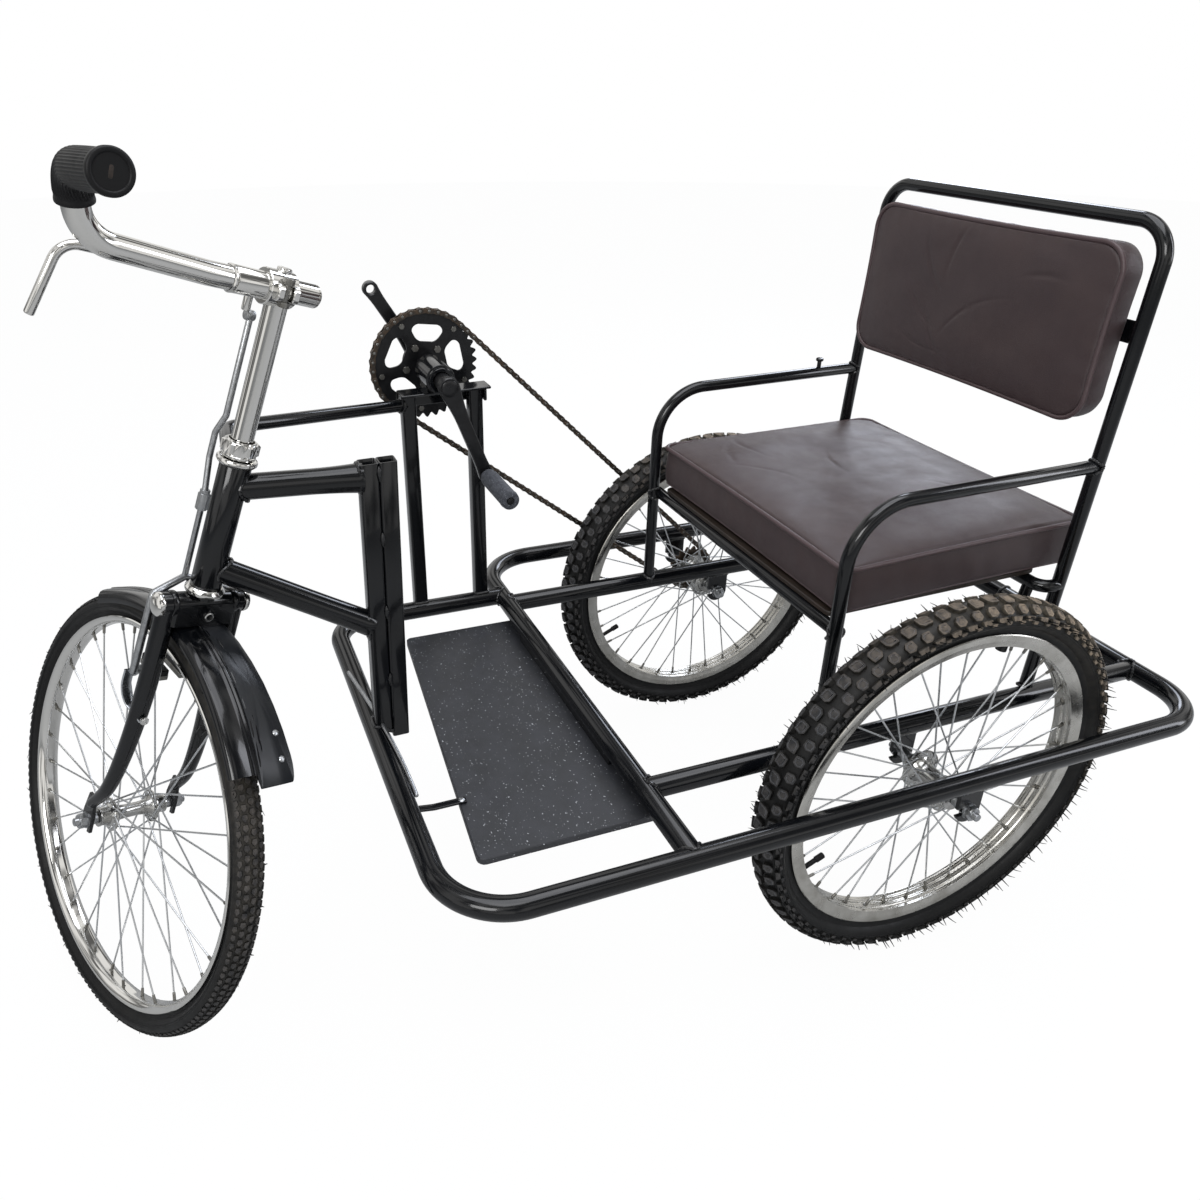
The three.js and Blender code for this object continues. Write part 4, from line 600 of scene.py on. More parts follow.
class Piece:
    """A mesh under construction, made of grids of points, and its build into a finished object."""

    def __init__(self, name: str, place: Place | None = None) -> None:
        """Starts an empty piece under its finished name, in a frame or else in the chassis frame."""
        self.name = name
        self.place = place or Place()
        self.points: list[Array] = []
        self.faces: list[Array] = []
        self.marks: list[Array] = []
        self.dust: list[Array] = []
        self.count = 0

    def _faces(self, faces: Array, mark: int) -> None:
        """Stores faces of one size with the number of their finish."""
        self.faces.append(faces)
        self.marks.append(np.full(len(faces), mark))

    def grid(
        self, rings: Array, closed: bool = False, caps: bool = True,
        mark: int | Sequence[int] = 0, dust: float | Array = 0.0,
    ) -> "Piece":
        """Adds a surface of closed rings, each joined to the next, or many like surfaces at once.

        Args:
            rings: rings by points by three, or copies by rings by points by three.
            closed: whether the last ring joins the first, so that there are no ends.
            caps: whether both ends are filled.
            mark: the number of the finish, or one for each strip between rings and one for the ends.
            dust: how dusty the points are, from 0 to 1.

        Returns:
            This piece.
        """
        stack = rings if rings.ndim == 4 else rings[None]
        copies, rows, columns = stack.shape[:3]
        flat = stack.reshape(-1, 3)
        starts = self.count + np.arange(copies)[:, None, None] * rows * columns
        self.count += len(flat)
        self.points.append(flat)
        self.dust.append(np.broadcast_to(np.asarray(dust, float).reshape(-1), (len(flat),)))
        column = np.arange(columns)
        after = (column + 1) % columns
        marks = [mark] * rows if isinstance(mark, int) else mark
        for row in range(rows if closed else rows - 1):
            near = row * columns
            far = (row + 1) % rows * columns
            strip = np.stack([near + column, near + after, far + after, far + column], axis=1)
            self._faces((strip + starts).reshape(-1, 4), marks[row])
        if caps and not closed:
            self._faces(column[::-1] + starts[:, 0], marks[-1])
            self._faces(column + (rows - 1) * columns + starts[:, 0], marks[-1])
        return self

    def bar(self, path: Array, section: Array, hint: Array = AXIS_Z, mark: int = 0) -> "Piece":
        """Adds a bar along a path: the section's two numbers go along the two cross directions."""
        first, second = ring_frames(path, hint)
        cross = section[:, :1] * first[:, None] + section[:, 1:] * second[:, None]
        return self.grid(path[:, None] + cross, mark=mark)

    def tube(
        self, path: Array, radius: float | Array, sides: int = 24, hint: Array = AXIS_Z, lip: float = 0.7,
        mark: int = 0,
    ) -> "Piece":
        """Adds a round bar along a path, with its two end edges rounded off by the lip."""
        reach = np.broadcast_to(np.asarray(radius, float), len(path))
        ways = lip * np.array([[0.0], [0.3], [1.0]])
        head = path[0] + ways * unit(path[1] - path[0])
        tail = path[-1] - ways[::-1] * unit(path[-1] - path[-2])
        sizes = np.concatenate([reach[0] - ways[::-1, 0], reach[1:-1], reach[-1] - ways[:, 0]])
        return self.grid(tube_rings(np.concatenate([head, path[1:-1], tail]), sizes, sides, hint), mark=mark)

    def rod(
        self, start: Point, end: Point, radius: float, sides: int = 24, lip: float = 0.7, mark: int = 0
    ) -> "Piece":
        """Adds a straight round bar between two points."""
        line = np.linspace(start, end, 3)
        hint = AXIS_Z if abs(unit(line[2] - line[0])[2]) < 0.9 else AXIS_X
        return self.tube(line, radius, sides, hint, lip, mark)

    def turn(
        self, profile: Sequence[Point], segments: int = 48, origin: Point = ORIGIN, axis: Array = AXIS_X,
        closed: bool = False, mark: int = 0,
    ) -> "Piece":
        """Adds a turned body; a closed profile makes a ring, and an open one is filled at both ends."""
        return self.grid(turned_rings(profile, segments, origin, axis), closed, mark=mark)

    def flat(
        self, loops: Sequence[Array], low: float, high: float, facing: Facing = Facing.X,
        chamfer: float = 0.5, origin: Point = ORIGIN, mark: int = 0,
    ) -> "Piece":
        """Adds a plate with holes and chamfered edges.

        Each loop's wall has four rings: inset at one face, full just inside it, full again and
        inset at the other face. The faces are filled between the inset loops.

        Args:
            loops: the anticlockwise outline, then the clockwise holes.
            low: where the first face is along the facing's direction.
            high: where the second face is.
            facing: the direction cut through.
            chamfer: the width of the chamfer.
            origin: a point added to everything.
            mark: the number of the finish.

        Returns:
            This piece.
        """
        across, up, through = facing.axes
        bottoms, tops, outlines = [], [], []
        for loop in loops:
            small = inset(loop, chamfer)
            levels = [(small, low), (loop, low + chamfer), (loop, high - chamfer), (small, high)]
            rings = [origin + o[:, :1] * across + o[:, 1:] * up + way * through for o, way in levels]
            bottoms.append(np.arange(len(loop)) + self.count)
            tops.append(bottoms[-1] + 3 * len(loop))
            outlines.append([Vector((*point, 0.0)) for point in small.tolist()])
            self.grid(np.stack(rings), caps=False, mark=mark)
        triangles = np.array(tessellate_polygon(outlines), int)
        self._faces(np.concatenate(bottoms)[triangles[:, ::-1]], mark)
        self._faces(np.concatenate(tops)[triangles], mark)
        return self

    def hexagon(
        self, origin: Point, axis: Array, across: float, height: float, mark: int = 0, bore: float = 0.0
    ) -> "Piece":
        """Adds a hexagon nut or bolt head, limited to a circle at both ends as a turned chamfer leaves it.

        A hexagon's radius is half its width over the cosine of the angle to the nearest flat.
        """
        angle = full_turn(48)
        outline = across / 2 / np.cos((angle + np.pi / 6) % (np.pi / 3) - np.pi / 6)
        edge = np.full(48, across / 2)
        hole = np.full(48, bore)
        lift = across * 0.042
        rows = [(0.0, hole), (0.0, edge), (lift, outline), (height - lift, outline)]
        rows += [(height, edge), (height, hole)]
        line = unit(axis)
        around = axis_circle(line, angle)
        rings = [origin + way * line + size[:, None] * around for way, size in (rows if bore else rows[1:-1])]
        return self.grid(np.stack(rings), closed=bool(bore), mark=mark)

    def bead(self, path: Array, radius: float | Array, hint: Array = AXIS_Z, mark: int = 1) -> "Piece":
        """Adds a weld bead or another thin roll along a closed path."""
        return self.grid(tube_rings(path, radius, 8, hint, loop=True), closed=True, mark=mark)

    def weld(self, centre: Point, small_axis: Array, big_axis: Array, small: float, big: float) -> "Piece":
        """Adds the weld bead where a round tube meets a bigger round tube.

        The bead follows the saddle: small radius times cosine and sine of the angle across, and the
        root of the big radius squared less the part across the big tube squared, along the small tube.

        Args:
            centre: the point where the two centre lines cross.
            small_axis: the direction of the tube that ends here, away from the joint.
            big_axis: the direction of the tube that it ends on.
            small: radius of the tube that ends.
            big: radius of the tube that it ends on.

        Returns:
            This piece.
        """
        up = unit(small_axis)
        along = unit(big_axis - up * (big_axis @ up))
        angle = full_turn(72)
        reach = small + 0.6
        rise = np.sqrt(np.maximum(big**2 - (reach * np.sin(angle)) ** 2, 0)) + 0.5
        path = centre + reach * spun(along, np.cross(up, along), angle) + rise[:, None] * up
        return self.bead(path, 1.9 + 0.35 * np.sin(23 * angle) + 0.3 * np.sin(5 * angle + small), up)

    def seam(self, path: Array, radius: float) -> "Piece":
        """Adds an open weld run along a path, with the ripples that the torch leaves."""
        wobble = radius * (1 + 0.18 * np.sin(np.arange(len(path)) * 1.9))
        return self.grid(tube_rings(path, wobble, 8), mark=1)

    def build(
        self, node: str, body: str = "chassis", finishes: Sequence[Finish] = (PAINT, WELD),
        crease: float = 35.0,
    ) -> bpy.types.Object:
        """Makes the object: its mesh in metres in the row frame, smooth where its faces turn little.

        Args:
            node: the solid of the frame that it stands for.
            body: the body of the frame that it rides on.
            finishes: the finishes in the order of their numbers.
            crease: faces that meet at more than these degrees keep a sharp edge.

        Returns:
            The finished object.
        """
        points = self.place.put(np.concatenate(self.points)) + np.array(CHASSIS_SHIFT)
        mesh = bpy.data.meshes.new(self.name)
        mesh.from_pydata((points * MM).tolist(), [], [row for block in self.faces for row in block.tolist()])
        mesh.polygons.foreach_set("material_index", np.concatenate(self.marks).astype(np.int32))
        dust = np.concatenate(self.dust).astype(np.float32)
        mesh.attributes.new("dust", "FLOAT", "POINT").data.foreach_set("value", dust)
        outward = bmesh.new()
        outward.from_mesh(mesh)
        bmesh.ops.recalc_face_normals(outward, faces=outward.faces)
        outward.to_mesh(mesh)
        outward.free()
        mesh.polygons.foreach_set("use_smooth", np.ones(len(mesh.polygons), bool))
        mesh.set_sharp_from_angle(angle=math.radians(crease))
        for finish in finishes:
            mesh.materials.append(finish.material())
        piece = bpy.data.objects.new(self.name, mesh)
        bpy.context.scene.collection.objects.link(piece)
        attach(piece, body)
        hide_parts(node)
        LOG.info("%s: %d faces on %s", self.name, len(mesh.polygons), body)
        return piece


RAIL_HEIGHT = 291.2
RAIL_RISE_SHARE = 0.0199
RAIL_RADIUS = 12.7
AXLE_HEIGHT = 249.0
REAR_WHEEL_X = 283.4
FRONT_CROSS_Y = -618.2
HEAD = Place((18.0, -731.0, 663.0), turned(AXIS_X, -21))
HEAD_LENGTH = 136.0
HEAD_RADIUS = 16.0
STEERING = HEAD.inner(ORIGIN, turned(AXIS_Z, -66))
FRONT_HUB = (0.0, -36.0, -453.86)
FRONT_WHEEL = STEERING.inner(FRONT_HUB)
BEAD_RADIUS = 1.9


def rail_z(y: float | Array) -> float | Array:
    """Height of the rails' centre line, which rises a little towards the front."""
    return RAIL_HEIGHT - RAIL_RISE_SHARE * y


def saddle_rise(across: Array, least: float) -> Array:
    """How high a weld on a rail is over its centre line, at a way across.

    It is the root of the radius squared less the way across squared, which is kept to a least value.
    """
    return np.sqrt(np.maximum(RAIL_RADIUS**2 - across**2, least)) + 0.5


@dataclass
class RailFrame:
    """The flat frame of bent tubes that everything else is welded to."""

    left: float = 337.4
    right: float = -368.2
    inner: float = 224.2
    front_right: float = -251.2
    crossbar: float = -361.5
    front: float = FRONT_CROSS_Y
    rear: float = 374.0
    plate_thickness: float = 5.0
    plate_half: float = 17.0
    slot_radius: float = 5.05

    def run(self, piece: Piece, plan: Sequence[Point], bends: Sequence[float] = ()) -> None:
        """Adds a bent rail on the rails' tilted plane, from its plan."""
        path = bent_path([(x, y, 0.0) for x, y in plan], bends, 4.0)
        path[:, 2] = rail_z(path[:, 1])
        piece.tube(path, RAIL_RADIUS, 32)

    def joint(self, piece: Piece, x: float, y: float, small_axis: Array, big_axis: Array) -> None:
        """Adds the weld where one rail ends on another."""
        piece.weld((x, y, rail_z(y)), small_axis, big_axis, RAIL_RADIUS, RAIL_RADIUS)

    def build_rails(self) -> None:
        """Builds the two rail loops and the two inner rails, with their welds."""
        plan = [(self.front_right, self.crossbar), (self.front_right, self.front), (self.left, self.front)]
        plan += [(self.left, self.rear), (0.0, self.rear)]
        loop = Piece("front_left_rail_loop")
        self.run(loop, plan, (56, 78, 70))
        self.joint(loop, *plan[0], -AXIS_Y, AXIS_X)
        loop.build("rail_front_left")
        plan = [(0.0, self.rear), (self.right, self.rear), (self.right, self.crossbar)]
        plan += [(self.left, self.crossbar)]
        cross = Piece("right_rail_and_crossbar")
        self.run(cross, plan, (70, 85))
        self.joint(cross, *plan[-1], -AXIS_X, AXIS_Y)
        butt = about_x(0.0, RAIL_RADIUS + 0.3, full_turn(48)) + (0.0, self.rear, rail_z(self.rear))
        cross.bead(butt, 1.6, AXIS_X)
        cross.build("rail_right_cross")
        for side in Side:
            x = side.value * self.inner
            rail = Piece(f"inner_rail_{side.word}")
            self.run(rail, [(x, self.crossbar), (x, self.rear)])
            self.joint(rail, x, self.crossbar, AXIS_Y, AXIS_X)
            self.joint(rail, x, self.rear, -AXIS_Y, AXIS_X)
            rail.build(f"rail_inner_{side.word}")

    def plate_outline(self) -> Array:
        """An axle plate's outline: straight sides, a half circle below and an open slot for the axle."""
        half, top = self.plate_half, RAIL_HEIGHT - 2
        upper = [(half, top), (-half, top), (-half, AXLE_HEIGHT + self.slot_radius)]
        mouth = polar(self.slot_radius, np.radians(np.linspace(90, -90, 9)), (0, AXLE_HEIGHT))
        round_end = polar(half, np.radians(np.linspace(197.3, 360, 22)), (0, AXLE_HEIGHT))
        return np.concatenate([upper, mouth, round_end])

    def build_plates(self) -> None:
        """Builds the four axle plates with the weld runs that hold them under the rails."""
        names = ("left_outer", "left_inner", "right_inner", "right_outer")
        half = self.plate_thickness / 2
        along = np.linspace(-self.plate_half, self.plate_half, 20)
        for name, x in zip(names, (self.left, self.inner, -self.inner, self.right)):
            plate = Piece(f"dropout_{name}")
            plate.flat([self.plate_outline()], x - half, x + half, Facing.X, 0.6)
            for away in (-1, 1):
                run = np.stack([along * 0 + x + away * (half + 0.6), along], axis=1)
                plate.seam(raised(run, RAIL_HEIGHT - 12.9), BEAD_RADIUS)
            plate.build(f"axle_plate_{name}")

    def build_axles(self) -> None:
        """Builds both rear axles with their cones, washers and nuts."""
        for side in Side:
            sign = side.value
            outer = self.left if side is Side.LEFT else self.right
            faces = [(sign * self.inner, -sign), (outer, sign)]
            axle = Piece(f"rear_axle_{side.word}")
            axle.rod(*[(x + out * 17.5, 0.0, AXLE_HEIGHT) for x, out in faces], 4.75, 20)
            for x, out in faces:
                seat = x + out * self.plate_thickness / 2
                hub = sign * REAR_WHEEL_X + out * 36.4
                add_axle_nut(axle, (seat, 0, AXLE_HEIGHT), AXIS_X * out, 10, (17, 7))
                axle.rod((x - out * 2.6, 0, AXLE_HEIGHT), (hub, 0, AXLE_HEIGHT), 7.6, 24)
            axle.build(f"axle_{side.word}", finishes=(ZINC,))

    def build(self) -> None:
        """Builds the rails, the axle plates and the axles."""
        self.build_rails()
        self.build_plates()
        self.build_axles()


def add_axle_nut(axle: Piece, seat: Point, axis: Array, washer: float, nut: Point) -> None:
    """Adds a washer of a radius and a nut of a width and height, outwards from where they sit."""
    axle.turn([(0, 5), (0, washer), (1.4, washer), (1.4, 5)], 32, seat, axis, closed=True)
    axle.hexagon(seat + axis * 1.4, axis, *nut)


@dataclass
class Footrest:
    """The board that the rider's feet rest on, with its strap, its packing strip and the rod in front."""

    right: float = -210.0
    left: float = 246.0
    rear: float = -352.0
    front_left: float = -564.0
    front_right: float = -524.0
    thickness: float = 9.0
    drop: float = 20.0

    def build(self) -> None:
        """Builds the board, the strap, the packing strip and the wound rod."""
        tilt = turned(AXIS_X, -math.degrees(math.atan(RAIL_RISE_SHARE)))
        corners = [(self.right, self.rear), (self.right, self.front_right)]
        corners += [(self.left, self.front_left), (self.left, self.rear)]
        board = Piece("foot_board", Place((0.0, 0.0, RAIL_HEIGHT - self.drop), tilt))
        board.flat([rounded_outline(corners, (1, 7, 9, 1))], -self.thickness, 0.0, Facing.Z, 1.0)
        board.build("footboard", finishes=(BOARD,))
        self.build_strap()
        packing = Piece("packing_strip")
        top = rail_z(-363) - 9
        packing.flat([rectangle(300, 15, 1)], top - 10.6, top, Facing.Z, 0.6, (0, -363.2, 0))
        packing.build("footboard_packing", finishes=(PAINT,))
        self.build_rod()

    def build_strap(self) -> None:
        """Builds the flat strap from the front cross tube to the board's front edge."""
        x, top = 153, rail_z(-540) - self.drop
        points = [(x, -619, rail_z(-618) - 13), (x, -585, top + 3), (x, -548, top + 2.4)]
        strap = Piece("board_strap").bar(bent_path(points, (30,)), rectangle(3, 9, 0.8), AXIS_Z)
        strap.turn([(-1, 3.6), (1.6, 3.6), (2.4, 2.2), (2.5, 0.4)], 20, (x, -553, top + 2.4), AXIS_Z, mark=1)
        strap.build("footboard_strap", finishes=(PAINT, ZINC))

    def build_rod(self) -> None:
        """Builds the thin rod that winds part of a turn round the front cross tube."""
        y, right, left, reach = FRONT_CROSS_Y, -100, 151, 15.5
        x = np.linspace(right, left, 70)
        angle = np.radians(33 - 118 * (x - right) / (left - right))
        path = [x, y - reach * np.sin(angle) * 0.98, rail_z(y) + reach * np.cos(angle)]
        Piece("wound_rod").tube(np.stack(path, axis=1), 2.5, 14).build("cross_tube_stay", finishes=(ZINC,))


@dataclass
class FrontTriangle:
    """The halved bicycle frame: head tube, its two tubes, the twin post and the brace to the crank post."""

    x: float = 18.0
    post_y: float = -609.5
    post_size: float = 20.0
    post_wall: float = 1.8
    post_lean_share: float = 0.027
    post_top: float = 647.0
    tube_radius: float = 13.5
    brace_radius: float = 8.0

    def lean(self, z: float) -> float:
        """How far back the posts are at a height, counted from their foot."""
        return self.post_lean_share * (z - 303)

    def post_rings(self, foot_y: float, foot_z: float) -> Array:
        """A leaning square tube with an open top: up its outside, over the rim and down inside."""
        size, top = self.post_size, self.post_top
        bore = size - 2 * self.post_wall
        rows = [(size, 2.6, z) for z in (foot_z, 0.5 * (foot_z + top), top - 0.5)]
        rows += [(size - 0.8, 2.4, top), (bore + 0.6, 1.6, top)]
        rows += [(bore, 1.4, top - 0.5), (bore, 1.4, top - 90)]
        middle = [(self.x, foot_y + self.post_lean_share * (z - rail_z(FRONT_CROSS_Y))) for _, _, z in rows]
        return np.stack([raised(rectangle(w, w, r) + spot, z) for (w, r, z), spot in zip(rows, middle)])

    def build_posts(self) -> None:
        """Builds the twin post with the weld dots that join its two tubes."""
        for name, y, z in (("front", self.post_y, rail_z(-618) + 4), ("rear", self.post_y + 20.3, 297.0)):
            post = Piece(f"square_post_{name}").grid(self.post_rings(y, z))
            if name == "front":
                self.dress_posts(post)
            post.build(f"post_{name}", crease=40)

    def dress_posts(self, post: Piece) -> None:
        """Adds the weld dots down the joint of the two posts, and the run round their foot."""
        for x in (self.x - 10.4, self.x + 10.4):
            for z in (636, 560, 470, 380):
                y = self.post_y + 10.1 + self.lean(z)
                spots = np.array([(x, y, z + up) for up in (-9, -4, 0, 4, 8)])
                post.grid(tube_rings(spots, np.array([0.5, 2.2, 2.9, 2.1, 0.5]), 10, AXIS_X), mark=1)
        foot = rectangle(self.post_size + 2, self.post_size + 2, 3)
        height = rail_z(FRONT_CROSS_Y) + saddle_rise(foot[:, 1] + 8.7, 4.0)
        post.bead(raised(foot + (self.x, self.post_y), height), 1.8)

    def build_tubes(self) -> None:
        """Builds the head tube with its cups, and the top and down tubes with flared, welded ends."""
        low, full = -HEAD_LENGTH, HEAD_RADIUS
        rows = [(0, 13.4), (0, 15.6), (-0.6, full), (low + 0.6, full), (low, 15.6), (low, 13.4)]
        head = Piece("steering_head", HEAD).turn(rows, 48, axis=AXIS_Z, closed=True)
        head.build("head_tube", finishes=(PAINT,))
        rows = [(-4, 14.6), (0, 14.6), (0, 17.2), (1.2, 18.6), (3.4, 20.4), (5.6, 20.5), (7.2, 19.7)]
        rows += [(7.4, 18.2), (5.2, 15.4), (-4, 13.0)]
        for name, base, way in (("upper", 0.0, 1), ("lower", low, -1)):
            cup = Piece(f"head_race_{name}", HEAD)
            cup.turn([(base + way * h, r) for h, r in rows], 48, axis=AXIS_Z, closed=True)
            cup.build(f"head_cup_{name}", finishes=(CHROME,))
        share = np.linspace(0, 1, 24)[:, None]
        for name, along, height, widening in (("top", -26.0, 630.0, 0.2), ("down", -114.0, 452.0, 0.08)):
            start = HEAD.put(np.array([0.0, 0.0, along]))
            end = np.array([self.x, self.post_y - 6 + self.lean(height), height])
            reach = self.tube_radius * (1 + widening * np.clip((share[:, 0] - 0.55) / 0.45, 0, 1) ** 2)
            axis = unit(end - start)
            tube = Piece(f"{name}_tube_run").tube(start + (end - start) * share, reach, 40)
            tube.weld(start, axis, HEAD.turn @ AXIS_Z, self.tube_radius, HEAD_RADIUS)
            self.face_bead(tube, end, axis, reach[-1])
            tube.build(f"{name}_tube")

    def face_bead(self, tube: Piece, end: Array, axis: Array, radius: float) -> None:
        """Adds the bead where a round tube meets the post's flat face: a circle stretched by its slant."""
        angle = full_turn(60)
        across = np.clip(radius * np.cos(angle), -10.5, 10.5)
        rise = radius * np.sin(angle) / max(axis[1], 0.5)
        path = np.stack([self.x + across, np.full(60, end[1] - 4.5), end[2] + rise], axis=1)
        tube.bead(path, BEAD_RADIUS + 0.3 * np.sin(17 * angle), AXIS_Y)

    def build_brace(self) -> None:
        """Builds the thin tube from the head tube round to the front crank post."""
        end = HEAD.put(np.array([0, 0, -18.2]))
        corners = np.array([(-257.5, -487.6, 612.0), (-150.0, -728.0, 646.0), end])
        start, bend, _ = corners
        brace = Piece("crank_brace").tube(bent_path(corners, (26,), 4), self.brace_radius, 24)
        brace.weld(end, bend - end, HEAD.turn @ AXIS_Z, self.brace_radius, HEAD_RADIUS)
        away = unit(bend - start)
        first = unit(np.cross(away, AXIS_Z))
        path = start + away * 11 + 8.6 * spun(first, np.cross(first, away), full_turn(40))
        brace.bead(path, 1.8, away)
        brace.build("brace_tube")

    def build(self) -> None:
        """Builds the whole front half."""
        self.build_posts()
        self.build_tubes()
        self.build_brace()


@dataclass
class Wheel:
    """A spoked wheel about its own X axis: tyre with tread, rim, hub, spokes and valve."""

    name: str
    body: str
    place: Place
    nodes: tuple[str, str, str]
    radius: float
    tyre_width: float
    rim_radius: float
    rim_width: float
    rim_depth: float
    flange_radius: float
    hub_half: float
    boss: float
    knob: float
    knobby: bool
    seed: int
    hair_limit: float = 60.0
    dusty_angle: float = 1.0
    flange_x: float = 24.0
    spokes: int = 36

    @property
    def casing(self) -> tuple[float, float, float]:
        """The casing's section without its tread: an ellipse's half width, middle radius and half height."""
        middle = (self.radius + self.rim_radius) / 2
        return self.tyre_width / 2 - self.knob * 0.4, middle, self.radius - self.knob - middle

    def tread(self, across: Array, along: Array, height: float | Array) -> Array:
        """The tread surface at a height over the casing.

        The way across is an arc length on an ellipse, and the way along is one on the tread's circle:
        x is the half width plus the height times the sine, and the radius is the middle plus the
        half height plus the height times the cosine.
        """
        half_width, middle, half_height = self.casing
        t = across / (half_width * 0.93)
        radius = middle + (half_height + height) * np.cos(t)
        return about_x((half_width + height) * np.sin(t), radius, along / self.radius)

    def dusted(self, points: Array) -> Array:
        """How far points are towards the dusty side of the wheel: the square of a cosine, from 0 to 1."""
        angle = np.arctan2(points[..., 2], points[..., 1])
        return np.maximum(np.cos(angle - self.dusty_angle), 0) ** 2

    def build_tyre(self) -> None:
        """Builds the casing, its bead lines, its tread blocks and its moulding hairs."""
        half_width, middle, half_height = self.casing
        t = np.radians(np.linspace(-140, 140, 41))
        rows = np.stack([half_width * np.sin(t), middle + half_height * np.cos(t)], axis=1)
        bead = self.rim_width / 2 - 3
        foot = np.array([[bead, self.rim_radius + 2.5], [bead - 1, self.rim_radius - 5]])
        rings = turned_rings(np.concatenate([foot[::-1] * (-1, 1), rows, foot]), 180)
        dust = np.zeros(rings.shape[:2])
        crown = 0.5 - 0.35 * np.clip(np.abs(t) / 1.4, 0, 1)
        dust[2:-2] = crown[:, None] * (0.08 + 0.92 * self.dusted(rings[2:-2]))
        piece = Piece(f"{self.name}_casing", self.place).grid(rings, closed=True, dust=dust)
        for side in (-1, 1):
            for out, size in ((0.74, 0.42), (0.9, 0.3)):
                angle = math.acos(1 - out * 0.9) + 0.5
                x, r = side * (half_width * math.sin(angle) + 0.1), middle + half_height * math.cos(angle)
                piece.turn([(x - size, r), (x, r + size), (x + size, r), (x, r - size)], 180, closed=True)
        (self.add_knobs if self.knobby else self.add_scales)(piece)
        self.add_hairs(piece)
        piece.build(self.nodes[0], self.body, (TYRE, KNOB, KNOB_LINE), crease=32)

    def pitches(self, step: float) -> tuple[Array, float]:
        """Places at even steps once round the tread, with the step that fits it best."""
        count = round(2 * math.pi * self.radius / step)
        pitch = 2 * math.pi * self.radius / count
        return np.arange(count) * pitch, pitch

    def add_blocks(
        self, piece: Piece, outline: Array, places: Array, across: float, flip: float | Array, height: float,
        lined: bool = False,
    ) -> None:
        """Adds a row of tread blocks.

        Args:
            piece: the tyre.
            outline: a block's outline, across and along the tread.
            places: how far along the tread each block's middle is.
            across: how far across the row is; it is counted to the other side where the flip is negative.
            flip: 1 or -1 for a block that is mirrored across, one for all or one for each.
            height: how high the blocks stand over the casing.
            lined: whether a dusty line runs inside the worn top.
        """
        steps = [(0.0, -0.5), (0.3, height - 0.2), (0.55, height)]
        marks = (0, 0, 1)
        if lined:
            steps = [(0.0, -0.6), (0.25, height - 0.3), (0.6, height), (2.0, height)]
            steps += [(2.2, height - 0.4), (2.8, height - 0.4), (3.0, height)]
            marks = (0, 0, 1, 2, 2, 2, 1)
        loops = np.stack([inset(outline, away) for away, _ in steps])
        rises = np.array([rise for _, rise in steps])[:, None]
        mirror = np.broadcast_to(flip, len(places))[:, None, None]
        stack = self.tread(mirror * (across + loops[..., 0]), places[:, None, None] + loops[..., 1], rises)
        piece.grid(stack, mark=marks, dust=0.06 + (0.9 if self.knobby else 0.12) * self.dusted(stack))

    def add_knobs(self, piece: Piece) -> None:
        """Adds the rear tread: paired centre blocks, staggered side blocks and small shoulder blocks."""
        places, pitch = self.pitches(22)
        centre = [(-7.2, -7.6), (3.2, -8.4), (7.2, -4.2), (7.2, 7.6), (-3.2, 8.4), (-7.2, 4.2)]
        side = [(-6, -6.2), (2.6, -7.6), (6.4, -2.6), (5.4, 5.4), (-1.6, 7.4), (-6.4, 3.4)]
        centre, side = (rounded_outline(corners, 1.2, 2) * 0.94 for corners in (centre, side))
        shoulder = rounded_outline([(-3.2, -7.4), (3.4, -5.6), (3.4, 5.6), (-3.2, 7.4)], 0.9, 2)
        flip = np.where(np.arange(len(places)) % 2, -1, 1)
        self.add_blocks(piece, centre, places, 1.4, flip, 4.3, lined=True)
        for sign in (-1, 1):
            shift = places + pitch * 0.5
            self.add_blocks(piece, side, shift, 15.4, sign, 4.1, lined=True)
            self.add_blocks(piece, shoulder, places, 26.2, sign, 3.4)
            self.add_blocks(piece, shoulder * (0.8, 0.62), shift, 31.8, sign, 2.2)

    def add_scales(self, piece: Piece) -> None:
        """Adds the front tread: rows of small overlapping diamonds, each row set half a pitch on."""
        places, pitch = self.pitches(10.2)
        diamond = rounded_outline([(-3.1, -1.2), (0, -5.0), (3.1, -1.2), (2.4, 3.6), (-2.4, 3.6)], 0.5, 2)
        for row, across in enumerate((-14.6, -7.3, 0.0, 7.3, 14.6)):
            height = 1.5 if abs(across) < 10 else 1.1
            self.add_blocks(piece, diamond, places + row % 2 * pitch / 2, across, 1, height)

    def add_hairs(self, piece: Piece) -> None:
        """Adds the thin rubber hairs that the mould's vents leave, each leaning its own way."""
        rng = np.random.default_rng(self.seed)
        count, reach, shortest, longest = (340, 0.62, 7, 15) if self.knobby else (60, 0.5, 2, 4)
        spot = np.linspace(0, 2 * math.pi * self.radius, count, endpoint=False) + rng.uniform(-5, 5, count)
        side = np.where(np.arange(count) % 2, 1, -1)
        across = side * self.tyre_width * reach * 0.93 * rng.uniform(0.9, 1.08, count)
        length = rng.uniform(shortest, longest, count)
        share = np.linspace(0, 1, 4)
        along = spot[:, None] + rng.uniform(-6, 6, count)[:, None] * share**1.5
        base = self.tread(across[:, None], along, length[:, None] * share)
        base[..., 0] = np.maximum(base[..., 0], -self.hair_limit)
        thickness = (1.15 * (1 - 0.7 * share))[:, None, None]
        piece.grid(base[:, :, None] + thickness * about_x(0.0, 1.0, full_turn(3)))

